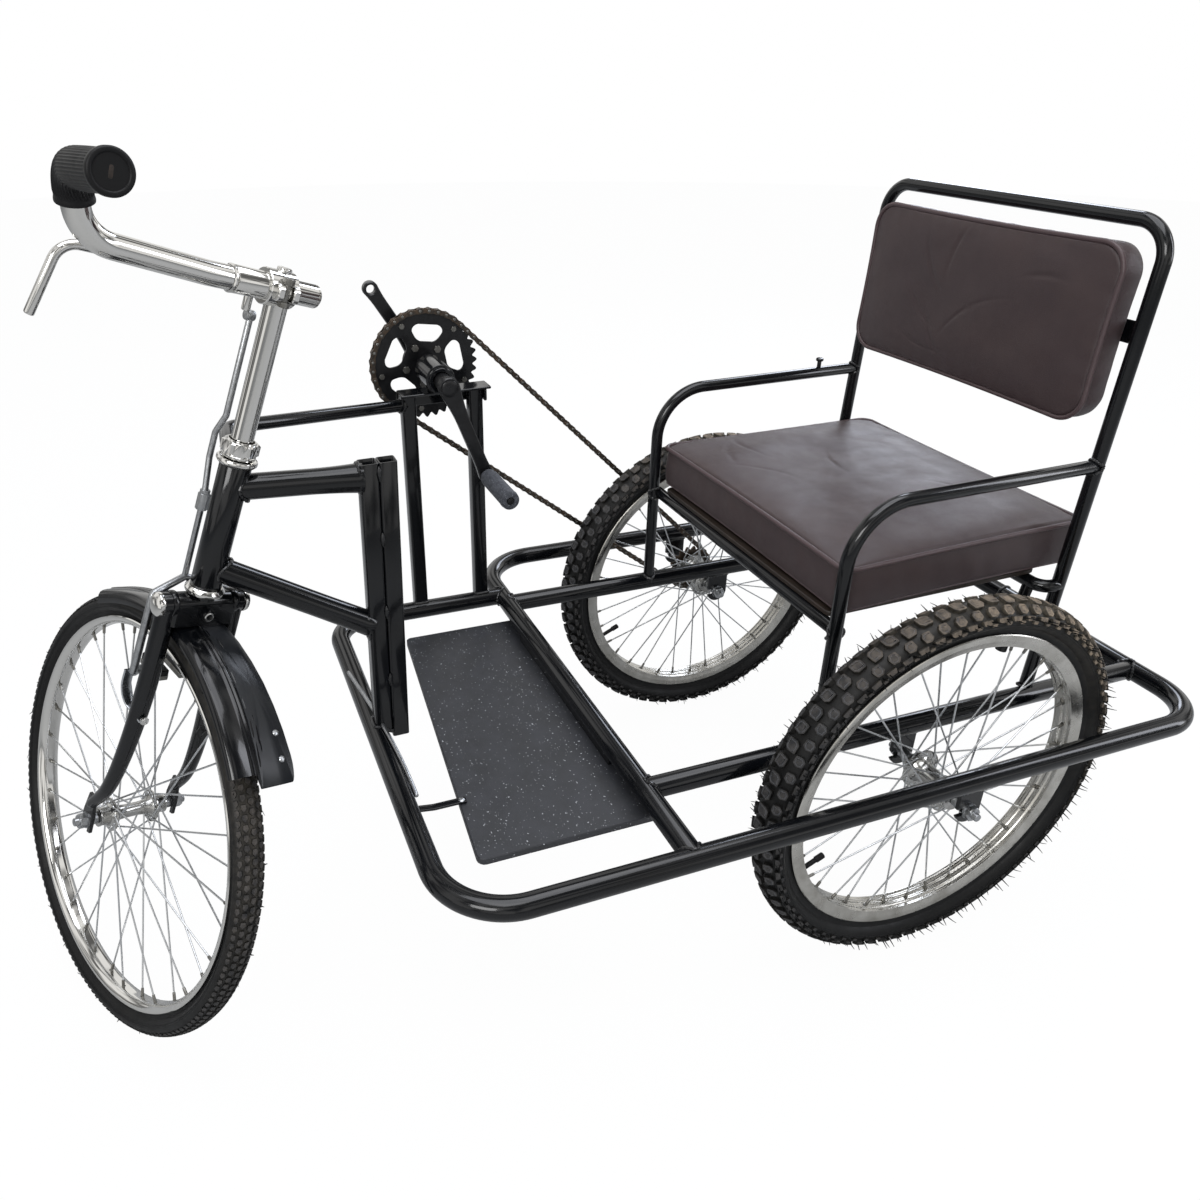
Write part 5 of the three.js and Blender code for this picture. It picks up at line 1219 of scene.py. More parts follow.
    def rim_rows(self) -> Array:
        """The rim's section: outer channel, rolled edges and the inner face with its broad grooves."""
        half, top, depth = self.rim_width / 2, self.rim_radius, self.rim_depth
        x = np.linspace(half - 2.2, 2.2 - half, 33)
        if self.knobby:
            wall, floor = 8.0, 10.0
            inner = 0.6 + 0.75 * np.cos(x / (half - 2) * 3 * np.pi) + 3.2 * (np.abs(x) / half) ** 8
        else:
            wall, floor = 3.4, 4.5
            inner = 5.0 * np.clip((np.abs(x) - 2.4) / (half - 3), 0, 1) ** 2.3
        right = [(half - 3.4, top - floor), (half - 3.4, top - 1.6), (half - 2.6, top), (half - 0.8, top)]
        right += [(half, top - 1.2), (half, top - wall + 0.5), (half - 0.5, top - wall - 1.0)]
        left = [(-a, b) for a, b in reversed(right)]
        channel = [(-4, top - depth + 4.5), (4, top - depth + 4.5)]
        return np.concatenate([channel, right, np.stack([x, top - depth + inner], axis=1), left])

    def build_rim(self) -> None:
        """Builds the rim with its nipples and the valve."""
        piece = Piece(f"{self.name}_rim_ring", self.place)
        piece.turn(self.rim_rows(), 216, closed=True)
        start, end = self.spoke_ends()
        away = unit(start - end)
        share, size = np.array([(0.0, 3.1), (1.2, 3.1), (1.8, 1.9), (9.5, 1.75), (10.5, 1.2)]).T
        piece.grid(rods(end - away * 1.5, away, unit(np.cross(away, AXIS_X)), share, size), mark=1)
        angle = math.radians(205 if self.knobby else 62)
        outward = np.array([0, math.cos(angle), math.sin(angle)])
        rows = [(0, 4.6), (1.8, 4.6), (2.2, 3.0), (20, 3.0), (20.4, 3.9), (31, 3.8), (32, 2.4)]
        piece.turn(rows, 20, outward * (self.rim_radius - self.rim_depth + 2), -outward, mark=2)
        piece.build(self.nodes[1], self.body, (RIM if self.knobby else CHROME, WORN, RUBBER), crease=30)

    def spoke_ends(self) -> tuple[Array, Array]:
        """Both ends of all spokes: each runs 60 degrees round from its hole in the flange."""
        i = np.arange(self.spokes)
        side = np.where(i % 2, 1.0, -1.0)
        lead = np.where(i % 4 < 2, 1.0, -1.0)
        rim_angle = 2 * np.pi * i / self.spokes
        hub_angle = rim_angle + lead * math.pi / 3
        start = about_x(side * (self.flange_x + lead * 1.7), self.flange_radius - 4.0, hub_angle)
        return start, about_x(side * 2, self.rim_radius - self.rim_depth, rim_angle)

    def build_hub(self) -> None:
        """Builds the hub shell with its flanges, and the spokes with their heads."""
        piece = Piece(f"{self.name}_hub_and_spokes", self.place)
        f, b, h = self.flange_radius, self.boss, self.hub_half
        flange = [(-1.6, b + 3), (-1.5, f - 1.4), (-0.8, f), (0.8, f), (1.5, f - 1.2), (1.7, b + 4.5)]
        right = [(self.flange_x + way, r) for way, r in (*flange, (4, b + 1.5))]
        right += [(h - 3, b), (h - 2.2, b + 0.9), (h - 0.6, b + 0.9), (h, b - 0.6), (h - 0.4, 6.6)]
        middle = [(-17, b - 1.2), (-8, b - 2.2), (8, b - 2.2), (17, b - 1.2)]
        piece.turn([(-a, r) for a, r in reversed(right)] + middle + right, 72)
        start, end = self.spoke_ends()
        run = end - start
        piece.grid(rods(start, run, unit(np.cross(run, AXIS_X)), np.linspace(0, 1, 3), 1.05), mark=1)
        lead = np.where(np.arange(self.spokes) % 4 < 2, 1.0, -1.0) * np.sign(start[:, 0])
        axes = AXIS_X * lead[:, None]
        ways, sizes = np.array([(-3.2, 1.1), (0.4, 1.1), (1.0, 2.0), (1.9, 1.6), (2.3, 0.6)]).T
        first = np.broadcast_to(AXIS_Y, axes.shape)
        piece.grid(rods(start - axes * 0.9, axes, first, ways, sizes), mark=1)
        piece.build(self.nodes[2], self.body, (HUB, SPOKE), crease=32)

    def build(self) -> None:
        """Builds the whole wheel."""
        self.build_tyre()
        self.build_rim()
        self.build_hub()


def rear_wheel(side: Side) -> Wheel:
    """The rear wheel of one side; the right one's hairs are kept short of the chain."""
    name = f"{side.word}_wheel"
    return Wheel(
        f"{side.word}_rear", name, Place((side.value * REAR_WHEEL_X, 0.0, AXLE_HEIGHT)),
        (f"{name}_tyre", f"{name}_rim", f"{name}_hub"), radius=249, tyre_width=48, rim_radius=209,
        rim_width=30, rim_depth=17, flange_radius=26, hub_half=36, boss=15, knob=4.6, knobby=True,
        seed=7 + side.value, hair_limit=60.0 if side is Side.LEFT else 25.5,
    )


def front_wheel() -> Wheel:
    """The steered front wheel."""
    return Wheel(
        "front", "front_wheel", FRONT_WHEEL, ("front_tyre", "front_rim", "front_hub"), radius=256,
        tyre_width=35, rim_radius=229, rim_width=25, rim_depth=10, flange_radius=19, hub_half=40, boss=10,
        knob=1.6, knobby=False, seed=3,
    )


def toothed(teeth: int, pitch_radius: float) -> Array:
    """A toothed wheel's outline: between root and tip the radius follows a drawn-out cosine."""
    angle = full_turn(teeth * 10)
    wave = 0.5 + 0.5 * np.cos(angle * teeth)
    return polar(pitch_radius - 3.6 + 6.2 * wave**0.85, angle)


def arm_outline(length: float, angle: float, centre: Point) -> Array:
    """A crank arm's outline: round at both ends, and its half width eases from root to neck to eye."""
    root, neck, eye = 14.0, 8.5, 10.5
    s = np.linspace(0, length, 25)
    toward = np.clip(s / length / 0.4, 0, 1) ** 0.7
    near_eye = np.clip((s / length - 0.8) / 0.2, 0, 1)
    half = root + (neck - root) * toward * toward * (3 - 2 * toward) + (eye - neck) * near_eye**2
    top = np.stack([s, half], axis=1)
    head = polar(eye, np.linspace(-0.5 * np.pi, 0.5 * np.pi, 13)[1:-1], (length, 0))
    tail = polar(root, np.linspace(0.5 * np.pi, 1.5 * np.pi, 13)[1:-1])
    loop = np.concatenate([top * (1, -1), head, top[::-1], tail])
    return loop @ turned(AXIS_Z, angle)[:2, :2].T + np.asarray(centre, float)


@dataclass
class CrankDrive:
    """The hand crank: posts, bearing shell, both arms, the chainwheel, the chain and the sprocket."""

    axis_y: float = -447.0
    axis_z: float = 648.0
    post_x: float = -257.5
    chain_x: float = -314.5
    wheel_teeth: int = 36
    sprocket_teeth: int = 18
    wheel_pitch: float = 72.86
    sprocket_pitch: float = 36.57
    left_arm: float = 134.0
    right_arm: float = 118.0
    left_arm_angle: float = -69.5
    right_arm_angle: float = 121.4
    link: float = 12.7

    def on_axis(self, x: float) -> Point:
        """A point on the crank's axis."""
        return (x, self.axis_y, self.axis_z)

    def build_posts(self) -> None:
        """Builds the two square posts and the angle plate with the bearing shell."""
        for name, y in (("front", -487.6), ("rear", -394.6)):
            post = Piece(f"crank_stand_{name}")
            post.flat([rectangle(19, 19, 2.4)], rail_z(y), 626.0, Facing.Z, 0.6, (self.post_x, y, 0))
            foot = rectangle(21, 21, 3.2)
            height = rail_z(y) + saddle_rise(foot[:, 0] - 6.3, 3.0)
            post.bead(raised(foot + (self.post_x, y), height), BEAD_RADIUS)
            post.build(f"crank_post_{name}")
        mount = Piece("bearing_stand")
        middle_y = -437.35
        mount.flat([rectangle(30, 124.5, 2)], 626.3, 629.5, Facing.Z, 0.7, (-255.5, middle_y, 0))
        mount.flat([rectangle(124.5, 22, 2)], -272.0, -268.8, Facing.X, 0.7, (0, middle_y, 616.6))
        for y in (-497.5, -382.0):
            mount.flat([rectangle(18, 19, 3)], y - 1.5, y + 1.5, Facing.Y, 0.6, (-254, 0, 617.5))
        half = [(34, 12), (34, 15.9), (33.4, 16.5), (28.5, 16.5), (28, 19), (27.4, 19.5)]
        rows = [(-way, r) for way, r in half] + half[::-1]
        mount.turn(rows, 56, self.on_axis(-263.0), closed=True)
        along = np.linspace(-268, -243, 20)
        for away in (-8.5, 8.5):
            mount.seam(np.stack([along, along * 0 + self.axis_y + away, along * 0 + 630.4], axis=1), 2.2)
        for x in (-291, -234.8):
            ring = about_x(0.0, 16.2, full_turn(40)) + self.on_axis(x)
            mount.grid(tube_rings(ring, 0.8, 6, AXIS_X, loop=True), closed=True)
        mount.build("crank_mount")

    def build_left_arm(self) -> None:
        """Builds the spindle, the arm that carries the handle, and the handle's pin with its sleeve."""
        arm = Piece("handle_arm")
        outline = arm_outline(self.left_arm, self.left_arm_angle, (self.axis_y, self.axis_z))
        arm.flat([outline], -203.5, -192.5, Facing.X, 1.6)
        arm.rod(self.on_axis(-350.5), self.on_axis(-190.5), 8, 32, 1.2)
        arm.rod(self.on_axis(-229), self.on_axis(-204), 11, 32, 1.0)
        pin = polar(self.left_arm, math.radians(self.left_arm_angle), (self.axis_y, self.axis_z))
        arm.rod((-207, *pin), (-98, *pin), 4.5, 24)
        arm.hexagon((-203.5, *pin), -AXIS_X, 14, 5, mark=1)
        arm.turn([(0, 11), (1.5, 11), (2.2, 10), (2.4, 5)], 32, self.on_axis(-192.5))
        arm.build("crank_left_arm", "crank", (BLACK_STEEL, ZINC))
        x = np.linspace(0, 86, 120)
        swell = 12 - 1.2 * np.exp(-((x - 2) ** 2) / 8) + 0.5 * np.exp(-((x - 80) ** 2) / 10)
        angle = full_turn(96) * 24
        knurl = 0.28 * np.sin(angle + x[:, None] * 0.9) * np.sin(angle - x[:, None] * 0.9)
        rings = turned_rings(np.stack([x, swell], axis=1), 96)
        rings = rings + unit(rings * (0, 1, 1)) * (knurl * ((x > 3) & (x < 83))[:, None])[..., None]
        head = turned_rings([(-0.6, 5.2), (-0.4, 10.2)], 96)
        tail = turned_rings([(86.5, 10.8), (86.6, 5.2)], 96)
        sleeve = Piece("handle_sleeve", Place((-186.2, *pin)))
        sleeve.grid(np.concatenate([head, rings, tail]), closed=True)
        sleeve.build("crank_handle", "crank_handle", (DUSTY_RUBBER,), crease=60)

    def windows(self) -> list[Array]:
        """The chainwheel's five openings: rounded rectangles bent round the centre, clockwise."""
        flat = rounded_outline([(-19, 32), (19, 32), (19, 56), (-19, 56)], 9.5, 8)
        share = flat[:, 0] / 19 * (0.4 + 0.08 * (flat[:, 1] - 32) / 24)
        turns = 2 * np.pi * (np.arange(5) + 0.5) / 5 + 0.45
        return [polar(flat[:, 1], -share - turn)[::-1] for turn in turns]

    def build_chainwheel(self) -> None:
        """Builds the chainwheel with its bolts and the arm on its right."""
        centre = np.array([self.axis_y, self.axis_z])
        x = self.chain_x
        bore = circle(8.2, 32, clockwise=True)
        loops = [toothed(self.wheel_teeth, self.wheel_pitch), *self.windows(), bore]
        wheel = Piece("toothed_chainwheel")
        wheel.flat([loop + centre for loop in loops], x - 1.2, x + 1.2, Facing.X, 0.35)
        outline = arm_outline(self.right_arm, self.right_arm_angle, centre)
        eye = polar(self.right_arm, math.radians(self.right_arm_angle), centre)
        wheel.flat([outline, circle(6, 32, eye, clockwise=True)], -349, -337, Facing.X, 1.5, mark=1)
        wheel.flat([centre + circle(26, 48), centre + bore], -337.2, -330, Facing.X, 1.2, mark=1)
        wheel.rod(self.on_axis(-330), self.on_axis(-315), 17, 40, mark=1)
        wheel.turn([(0, 13), (1.5, 13), (2.8, 11.5), (3.2, 4)], 36, self.on_axis(-349), -AXIS_X, mark=2)
        for index in range(5):
            angle = -2 * math.pi * index / 5 - 0.45
            for reach, width, height in ((27, 9, 3.5), (62, 7, 2.6)):
                wheel.hexagon((x + 1.2, *polar(reach, angle, centre)), AXIS_X, width, height, mark=2)
        wheel.build("chainwheel", "crank", (BLACK_STEEL, BLACK_STEEL, WORN), crease=28)
        sprocket = Piece("wheel_sprocket")
        loops = [toothed(self.sprocket_teeth, self.sprocket_pitch), circle(15, 40, clockwise=True)]
        sprocket.flat([loop + (0, AXLE_HEIGHT) for loop in loops], x - 1.1, x + 1.1, Facing.X, 0.35)
        rows = [(-4.2, 14.6), (-4.2, 20), (-3.6, 20.8), (-1.2, 20.8), (1.2, 20.8), (4.6, 20.2)]
        rows += [(5.2, 19.4), (5.2, 14.6)]
        sprocket.turn(rows, 48, (x, 0, AXLE_HEIGHT), closed=True, mark=1)
        sprocket.build("sprocket", "right_wheel", (CHAIN, WORN), crease=28)

    def chain_path(self) -> Array:
        """Pin places round both toothed wheels, evenly spaced by length along two tangents and two arcs."""
        low = np.array([0.0, AXLE_HEIGHT])
        high = np.array([self.axis_y, self.axis_z])
        span = np.linalg.norm(high - low)
        drive = (high - low) / span
        lean = math.asin((self.wheel_pitch - self.sprocket_pitch) / span)
        side = math.cos(lean) * np.array([-drive[1], drive[0]])
        start, stop = (math.atan2(*(way * side - math.sin(lean) * drive)[::-1]) for way in (1, -1))
        over = polar(self.wheel_pitch, np.linspace(start, stop - 2 * math.pi, 160), high)
        under = polar(self.sprocket_pitch, np.linspace(stop, start, 120), low)
        loop = np.concatenate([over, under, over[:1]])
        count = 2 * round(line_length(loop)[-1] / self.link / 2)
        return even_path(loop, count, endpoint=False)[0]

    def build_chain(self) -> None:
        """Builds the chain: a roller and a pin at each place, and inner and outer side plates in turn."""
        pins = self.chain_path()
        after = np.roll(pins, -1, axis=0)
        along = unit(after - pins)
        chain = Piece("roller_chain")
        roller = [(-2.4, 3.4), (-2.0, 3.9), (2.0, 3.9), (2.4, 3.4)]
        pin = [(-5.2, 1.4), (-4.9, 1.9), (4.9, 1.9), (5.2, 1.4)]
        centres = np.pad(pins, ((0, 0), (1, 0)))[:, None, None]
        for mark, rows in enumerate((roller, pin)):
            ways, radii = np.array(rows).T[..., None]
            chain.grid(centres + about_x(self.chain_x + ways, radii, full_turn(14)), mark=mark)
        right = polar(4.1, np.linspace(-0.42 * np.pi, 0.42 * np.pi, 8), (6.35, 0))
        left = polar(4.1, np.linspace(0.58 * np.pi, 1.42 * np.pi, 8), (-6.35, 0))
        outline = np.concatenate([right, [(0.0, 2.9)], left, [(0.0, -2.9)]])
        small = inset(outline, 0.3)
        flat = np.stack([small, outline, outline, small])
        middle = np.pad((pins + after) / 2, ((0, 0), (1, 0)))[:, None, None]
        ahead = np.pad(along, ((0, 0), (1, 0)))[:, None, None]
        up = np.cross(AXIS_X, ahead)
        for parity, offset in enumerate((2.9, 4.0)):
            for sign in (-1, 1):
                x = self.chain_x + sign * offset + np.array([-0.5, -0.25, 0.25, 0.5])[:, None, None]
                pick = slice(parity, None, 2)
                plates = middle[pick] + flat[..., :1] * ahead[pick] + flat[..., 1:] * up[pick]
                chain.grid(plates + x * AXIS_X)
        chain.build("chain", finishes=(CHAIN, WORN), crease=30)

    def build(self) -> None:
        """Builds the whole drive."""
        self.build_posts()
        self.build_left_arm()
        self.build_chainwheel()
        self.build_chain()


@dataclass
class Steering:
    """Fork, stem, handlebar, grip, mudguard and front axle, in the steering frame."""

    bar_height: float = 177.0
    bar_radius: float = 11.1
    crown_z: float = -156.0
    bolt_z: float = -164.0
    dropout_x: float = 50.0
    slot_radius: float = 4.9
    guard_radius: float = 283.0
    guard_half: float = 30.0
    guard_skirt: float = 8.0

    def build_fork(self) -> None:
        """Builds the fork: steerer, barrel crown with its end caps, blades, dropouts and brake guides."""
        fork = Piece("front_fork", STEERING)
        fork.turn([(-150, 12.7), (20, 12.7), (20, 11.4), (-150, 11.4)], 40, axis=AXIS_Z, closed=True)
        z = self.crown_z
        fork.rod((-46, 0, z), (46, 0, z), 12, 44, 2.0)
        crown = rounded_outline([(-37, -13), (37, -13), (37, 13), (-37, 13)], 6, 6)
        levels = ((1.0, -153), (1.0, -164), (0.99, -168))
        rings = np.stack([raised(crown * share, height) for share, height in levels])
        arch = FRONT_HUB[2] + np.sqrt(281.0**2 - (crown[:, 1] * 0.99 - FRONT_HUB[1]) ** 2) - 0.6
        fork.grid(np.concatenate([rings, raised(crown * 0.99, np.minimum(arch, -168.5))[None]]))
        blade = [(38, 0, -150), (39.5, 0, -255.3), (43.5, -4, -334.7), (47, -15, -394.3), (50, -36, -432)]
        hook = [(41, 12, -291), (41, -12, -290), (45, -21, -282), (48, -25, -267), (48, -25, -248)]
        blade, hook = np.array(blade), np.array(hook)
        cap = [(0, 12.4), (1.6, 12.9), (4.4, 12.2), (6.6, 9.4), (7.6, 5.6), (8.0, 1.0)]
        ring = [(0, 12.2), (0, 13.4), (1.2, 14), (5, 14), (6.2, 13.4), (6.2, 12.2)]
        for side in (-1, 1):
            line = smooth_path(blade * (side, 1, 1), 50)
            share = np.interp(-line[:, 2], -blade[:, 2], [1, 1, 0.88, 0.76, 0.6])
            fork.tube(line, 10.5 * share, 32, AXIS_X, 1.5)
            self.add_dropout(fork, side)
            fork.turn(cap, 40, (side * 46, 0, z), AXIS_X * side, mark=1)
            fork.bar(smooth_path(hook * (side, 1, 1), 30), rectangle(11, 2.4, 0.8), AXIS_X, mark=2)
            fork.hexagon((side * 41, 11, -290), AXIS_Y, 8, 4, mark=1)
            fork.turn(ring, 40, (side * 34 - 3, 0, z), closed=True)
        z = self.bolt_z
        fork.rod((0, 0, z), (0, 17, z), 4.2, 20)
        fork.turn([(0, 9), (1.5, 9), (1.7, 5)], 28, (0, 12.6, z), AXIS_Y)
        fork.hexagon((0, 14.2, z), AXIS_Y, 13, 5)
        end = [(0, 3.6), (0, 5.2), (1.2, 5.2), (1.6, 4.4), (1.6, 3.6)]
        fork.turn(end, 24, (0, 19.0, z), AXIS_Y, closed=True, mark=1)
        fork.build("fork", "steering", (PAINT, CHROME, BRIGHT))

    def add_dropout(self, fork: Piece, side: int) -> None:
        """Adds a flat dropout whose slot opens downwards round the axle."""
        slot = self.slot_radius
        mouth = polar(slot, np.radians(np.linspace(180, 0, 11)))
        right = [(slot, -13), (11, -11), (11, 9), (6, 34)]
        outline = np.concatenate([right, [(-y, z) for y, z in reversed(right)], mouth]) + FRONT_HUB[1:]
        x = side * self.dropout_x
        fork.flat([outline], x - 2, x + 2, Facing.X, 0.5)

    def build_nut(self) -> None:
        """Builds the washer and the lock nut over the head."""
        nut = Piece("steerer_nut", STEERING)
        washer = [(8.1, 12.9), (8.1, 16.4), (9, 17), (11.3, 17), (12.1, 16.2), (12.1, 12.9)]
        nut.turn(washer, 48, axis=AXIS_Z, closed=True)
        nut.hexagon((0, 0, 12.1), AXIS_Z, 33, 12.6, bore=12.9)
        nut.turn([(24.4, 12.9), (24.4, 15.0), (26.2, 14.2), (26.2, 12.9)], 40, axis=AXIS_Z, closed=True)
        nut.build("head_lock_nut", "steering", (CHROME,))

    def build_stem(self) -> None:
        """Builds the stem's quill with its clamp, pinch bolt and top plug."""
        z = self.bar_height
        stem = Piece("handlebar_stem", STEERING)
        stem.turn([(-60, 9), (-60, 11.1), (z - 12, 11.1), (z - 6, 12.4), (z - 4, 12.6)], 40, axis=AXIS_Z)
        rows = [(-11, 12.8), (-11, 16.2), (-10, 17), (18, 17), (19, 16.2), (19, 12.8)]
        stem.turn(rows, 48, (0, 0, z), closed=True)
        lug = rounded_outline([(10, -8), (24, -8), (24, 8), (10, 8)], (1, 5, 5, 1))
        for x in (-4.2, 12.2):
            stem.flat([lug], x - 3.4, x + 3.4, Facing.X, 1.0, (0, 0, z))
        stem.rod((4, 17, z - 11), (4, 17, z + 11), 3.4, 16, mark=1)
        for lift, height in ((8, 6), (-13, 5)):
            stem.hexagon((4, 17, z + lift), AXIS_Z, 10, height, mark=1)
        stem.rod((0, 0, z + 12), (0, 0, z + 20), 7, 24, 1.2)
        stem.build("stem", "steering", (CHROME, WORN))

    def build_bar(self) -> None:
        """Builds the handlebar with its centre sleeve, domed stub end and brake bracket."""
        z = self.bar_height
        corners = [(-38, 0, z), (75.4, 0, z), (186, 0, z + 5), (206, 8, z + 55), (222, 118, z + 71)]
        bar = Piece("steering_bar", STEERING)
        bar.tube(bent_path(corners, (0, 40, 30), 4)[:-1], self.bar_radius, 36, AXIS_Y)
        sleeve = [(-12, 11), (-12, 12.2), (-11.4, 12.7), (49.2, 12.7), (50, 12.2), (50, 11)]
        bar.turn(sleeve, 44, (0, 0, z), closed=True)
        bar.turn([(0, 11.4), (1.6, 13.0), (3.2, 13.0), (4, 11.4)], 44, (50, 0, z), closed=True)
        bar.turn([(0, 11.2), (1.4, 11.0), (3.4, 9.0), (4.6, 6.0), (5.2, 1.0)], 36, (-38, 0, z), -AXIS_X)
        bar.flat([rectangle(14, 25, 2)], z - 10.5, z + 0.5, Facing.Z, 1.0, (34, -12.5, 0), mark=1)
        rows = [(26, 4.5), (26, 8), (27, 9), (41, 9), (42, 8), (42, 4.5)]
        bar.turn(rows, 36, (0, -25, z - 5), closed=True, mark=1)
        bar.build("handlebar", "steering", (CHROME, ZINC))

    def build_grip(self) -> None:
        """Builds the rubber grip: lengthwise ribs, a collar ring and a wide end cap whose slot is a painted
        shadow on a thin sheet.
        """
        z = self.bar_height
        a, b = np.array([186, 0, z + 5.0]), np.array([206, 8, z + 55.0])
        path, spots = even_path(bent_path([a + (b - a) * 0.52, b, (220, 104, z + 69)], (30,), 3), 110)
        out = tube_rings(path, 1.0, 120, AXIS_X) - path[:, None]
        ribs = 0.45 * np.cos(full_turn(120) * 20) ** 4
        share = spots / spots[-1]
        body = 14.4 + 0.8 * np.exp(-((share - 0.02) ** 2) / 0.0006) + 0.5 * np.sin(share * np.pi) ** 2
        ends = np.clip(np.minimum(share - 0.05, 0.93 - share) / 0.03, 0, 1)
        size = body[:, None] + ribs * 1.6 * ends[:, None]
        size[0] = 11.6
        grip = Piece("ribbed_grip", STEERING).grid(path[:, None] + out * size[..., None])
        axis = unit(path[-1] - path[-2])
        cap = [(-6, 13.5), (-5.4, 15.8), (-4.4, 16.6), (0.8, 16.6), (1.8, 15.8), (2.2, 14.2), (1.9, 12.8)]
        grip.turn([*cap, (0.9, 12.2), (0.9, 3)], 56, path[-1], axis)
        first = unit(np.cross(AXIS_Z, axis))
        slot = Place(tuple(path[-1]), np.stack([first, np.cross(axis, first), axis], axis=1))
        # The slot is not cut: two thin sheets on the cap's face carry its painted shadow.
        sizes = ((3.6, 9.6, 1.4, 0.7), (3.0, 9.0, 1.2, 1.0))
        grip.grid(np.stack([slot.put(raised(rectangle(*flat), lift)) for *flat, lift in sizes]), mark=1)
        grip.build("grip", "steering", (RUBBER, SLOT_SHADOW), crease=50)

    def guard_line(self, degrees: Array) -> tuple[Array, Array]:
        """The mudguard's radius, which eases down to the tyre at the front, and its share of that way."""
        share = np.clip((degrees - 62) / 59, 0, 1)
        toward = share * share * (3 - 2 * share)
        return self.guard_radius - 23.0 * toward, toward

    def guard_rings(self) -> Array:
        """The mudguard's skin.

        The section runs from one rolled edge over the crown to the other. Each row has its share of
        the half width, its drop towards the skirt and its share of the rib. The section goes round
        the wheel from the flap's end to the front end.
        """
        half = [(1.0, 1.0, 0.0), (0.985, 0.72, 0.0), (0.93, 0.42, 0.0), (0.84, 0.2, 0.0), (0.72, 0.09, 0.0)]
        half += [(0.5, 0.02, 0.0), (0.32, 0.0, 0.0), (0.26, 0.0, 0.9), (0.21, 0.0, 1.0), (0.15, 0.0, 0.25)]
        half += [(0.09, 0.0, 1.0), (0.05, 0.0, 0.9), (0.0, 0.0, 0.2)]
        rows = np.array(half + [(-a, b, c) for a, b, c in half[-2::-1]])
        across, drop, rib = (rows * (self.guard_half, self.guard_skirt, 1.3)).T
        skin = np.concatenate([rib - drop, (rib - drop - 1.5)[::-1]])
        degrees = np.linspace(44, 121, 100)[:, None]
        radius, toward = self.guard_line(degrees)
        x = np.concatenate([across, across[::-1]]) * (1 - 0.2 * toward) + 2.0 * (1 - toward)
        r = radius + skin - 0.9 * toward * np.concatenate([drop, drop[::-1]])
        return about_x(x, r, np.radians(degrees)) + FRONT_HUB

    def build_guard(self) -> None:
        """Builds the mudguard with its double rib, and the smooth end plate with its two rivets."""
        guard = Piece("ribbed_mudguard", STEERING).grid(self.guard_rings())
        outline = rounded_outline([(-40, 41.0), (3, 41.0), (1, 82), (-27, 82)], (4, 1, 1, 3), 6)
        sides = zip(outline, np.roll(outline, -1, axis=0))
        outline = np.concatenate([np.linspace(start, end, 6, endpoint=False) for start, end in sides])
        middle = outline.mean(axis=0)
        levels = []
        for share, lift in ((1.0, -2.4), (1.0, 1.0), (0.985, 1.5), (0.75, 1.7), (0.4, 1.8), (0.05, 1.8)):
            x, degrees = (middle + (outline - middle) * share).T
            droop = 3.0 * np.clip((np.abs(x) / self.guard_half - 0.6) / 0.4, 0, 1.05) ** 2
            levels.append(about_x(x, self.guard_line(degrees)[0] + lift - droop, np.radians(degrees)))
        guard.grid(np.stack(levels) + FRONT_HUB, mark=1)
        for degrees in (51.5, 46.0):
            out = about_x(0.0, 1.0, np.radians(degrees))
            base = out * (self.guard_radius + 0.9) + (-25, *FRONT_HUB[1:])
            guard.turn([(-1, 3.4), (0.4, 3.4), (1.4, 2.4), (1.8, 0.5)], 20, base, out, mark=2)
        guard.build("mudguard", "steering", (PAINT, FLAP, ZINC), crease=30)

    def build_axle(self) -> None:
        """Builds the front axle with its washers and nuts."""
        axle = Piece("steered_axle", FRONT_WHEEL)
        axle.rod((-66, 0, 0), (66, 0, 0), 4.6, 20)
        for out in (-1, 1):
            add_axle_nut(axle, (out * (self.dropout_x + 2), 0, 0), AXIS_X * out, 9.4, (15, 8))
            axle.rod((out * 40.4, 0, 0), (out * 48, 0, 0), 7, 24)
        axle.build("front_axle", "steering", (ZINC,))

    def build(self) -> None:
        """Builds all of it."""
        self.build_fork()
        self.build_nut()
        self.build_stem()
        self.build_bar()
        self.build_grip()
        self.build_guard()
        self.build_axle()


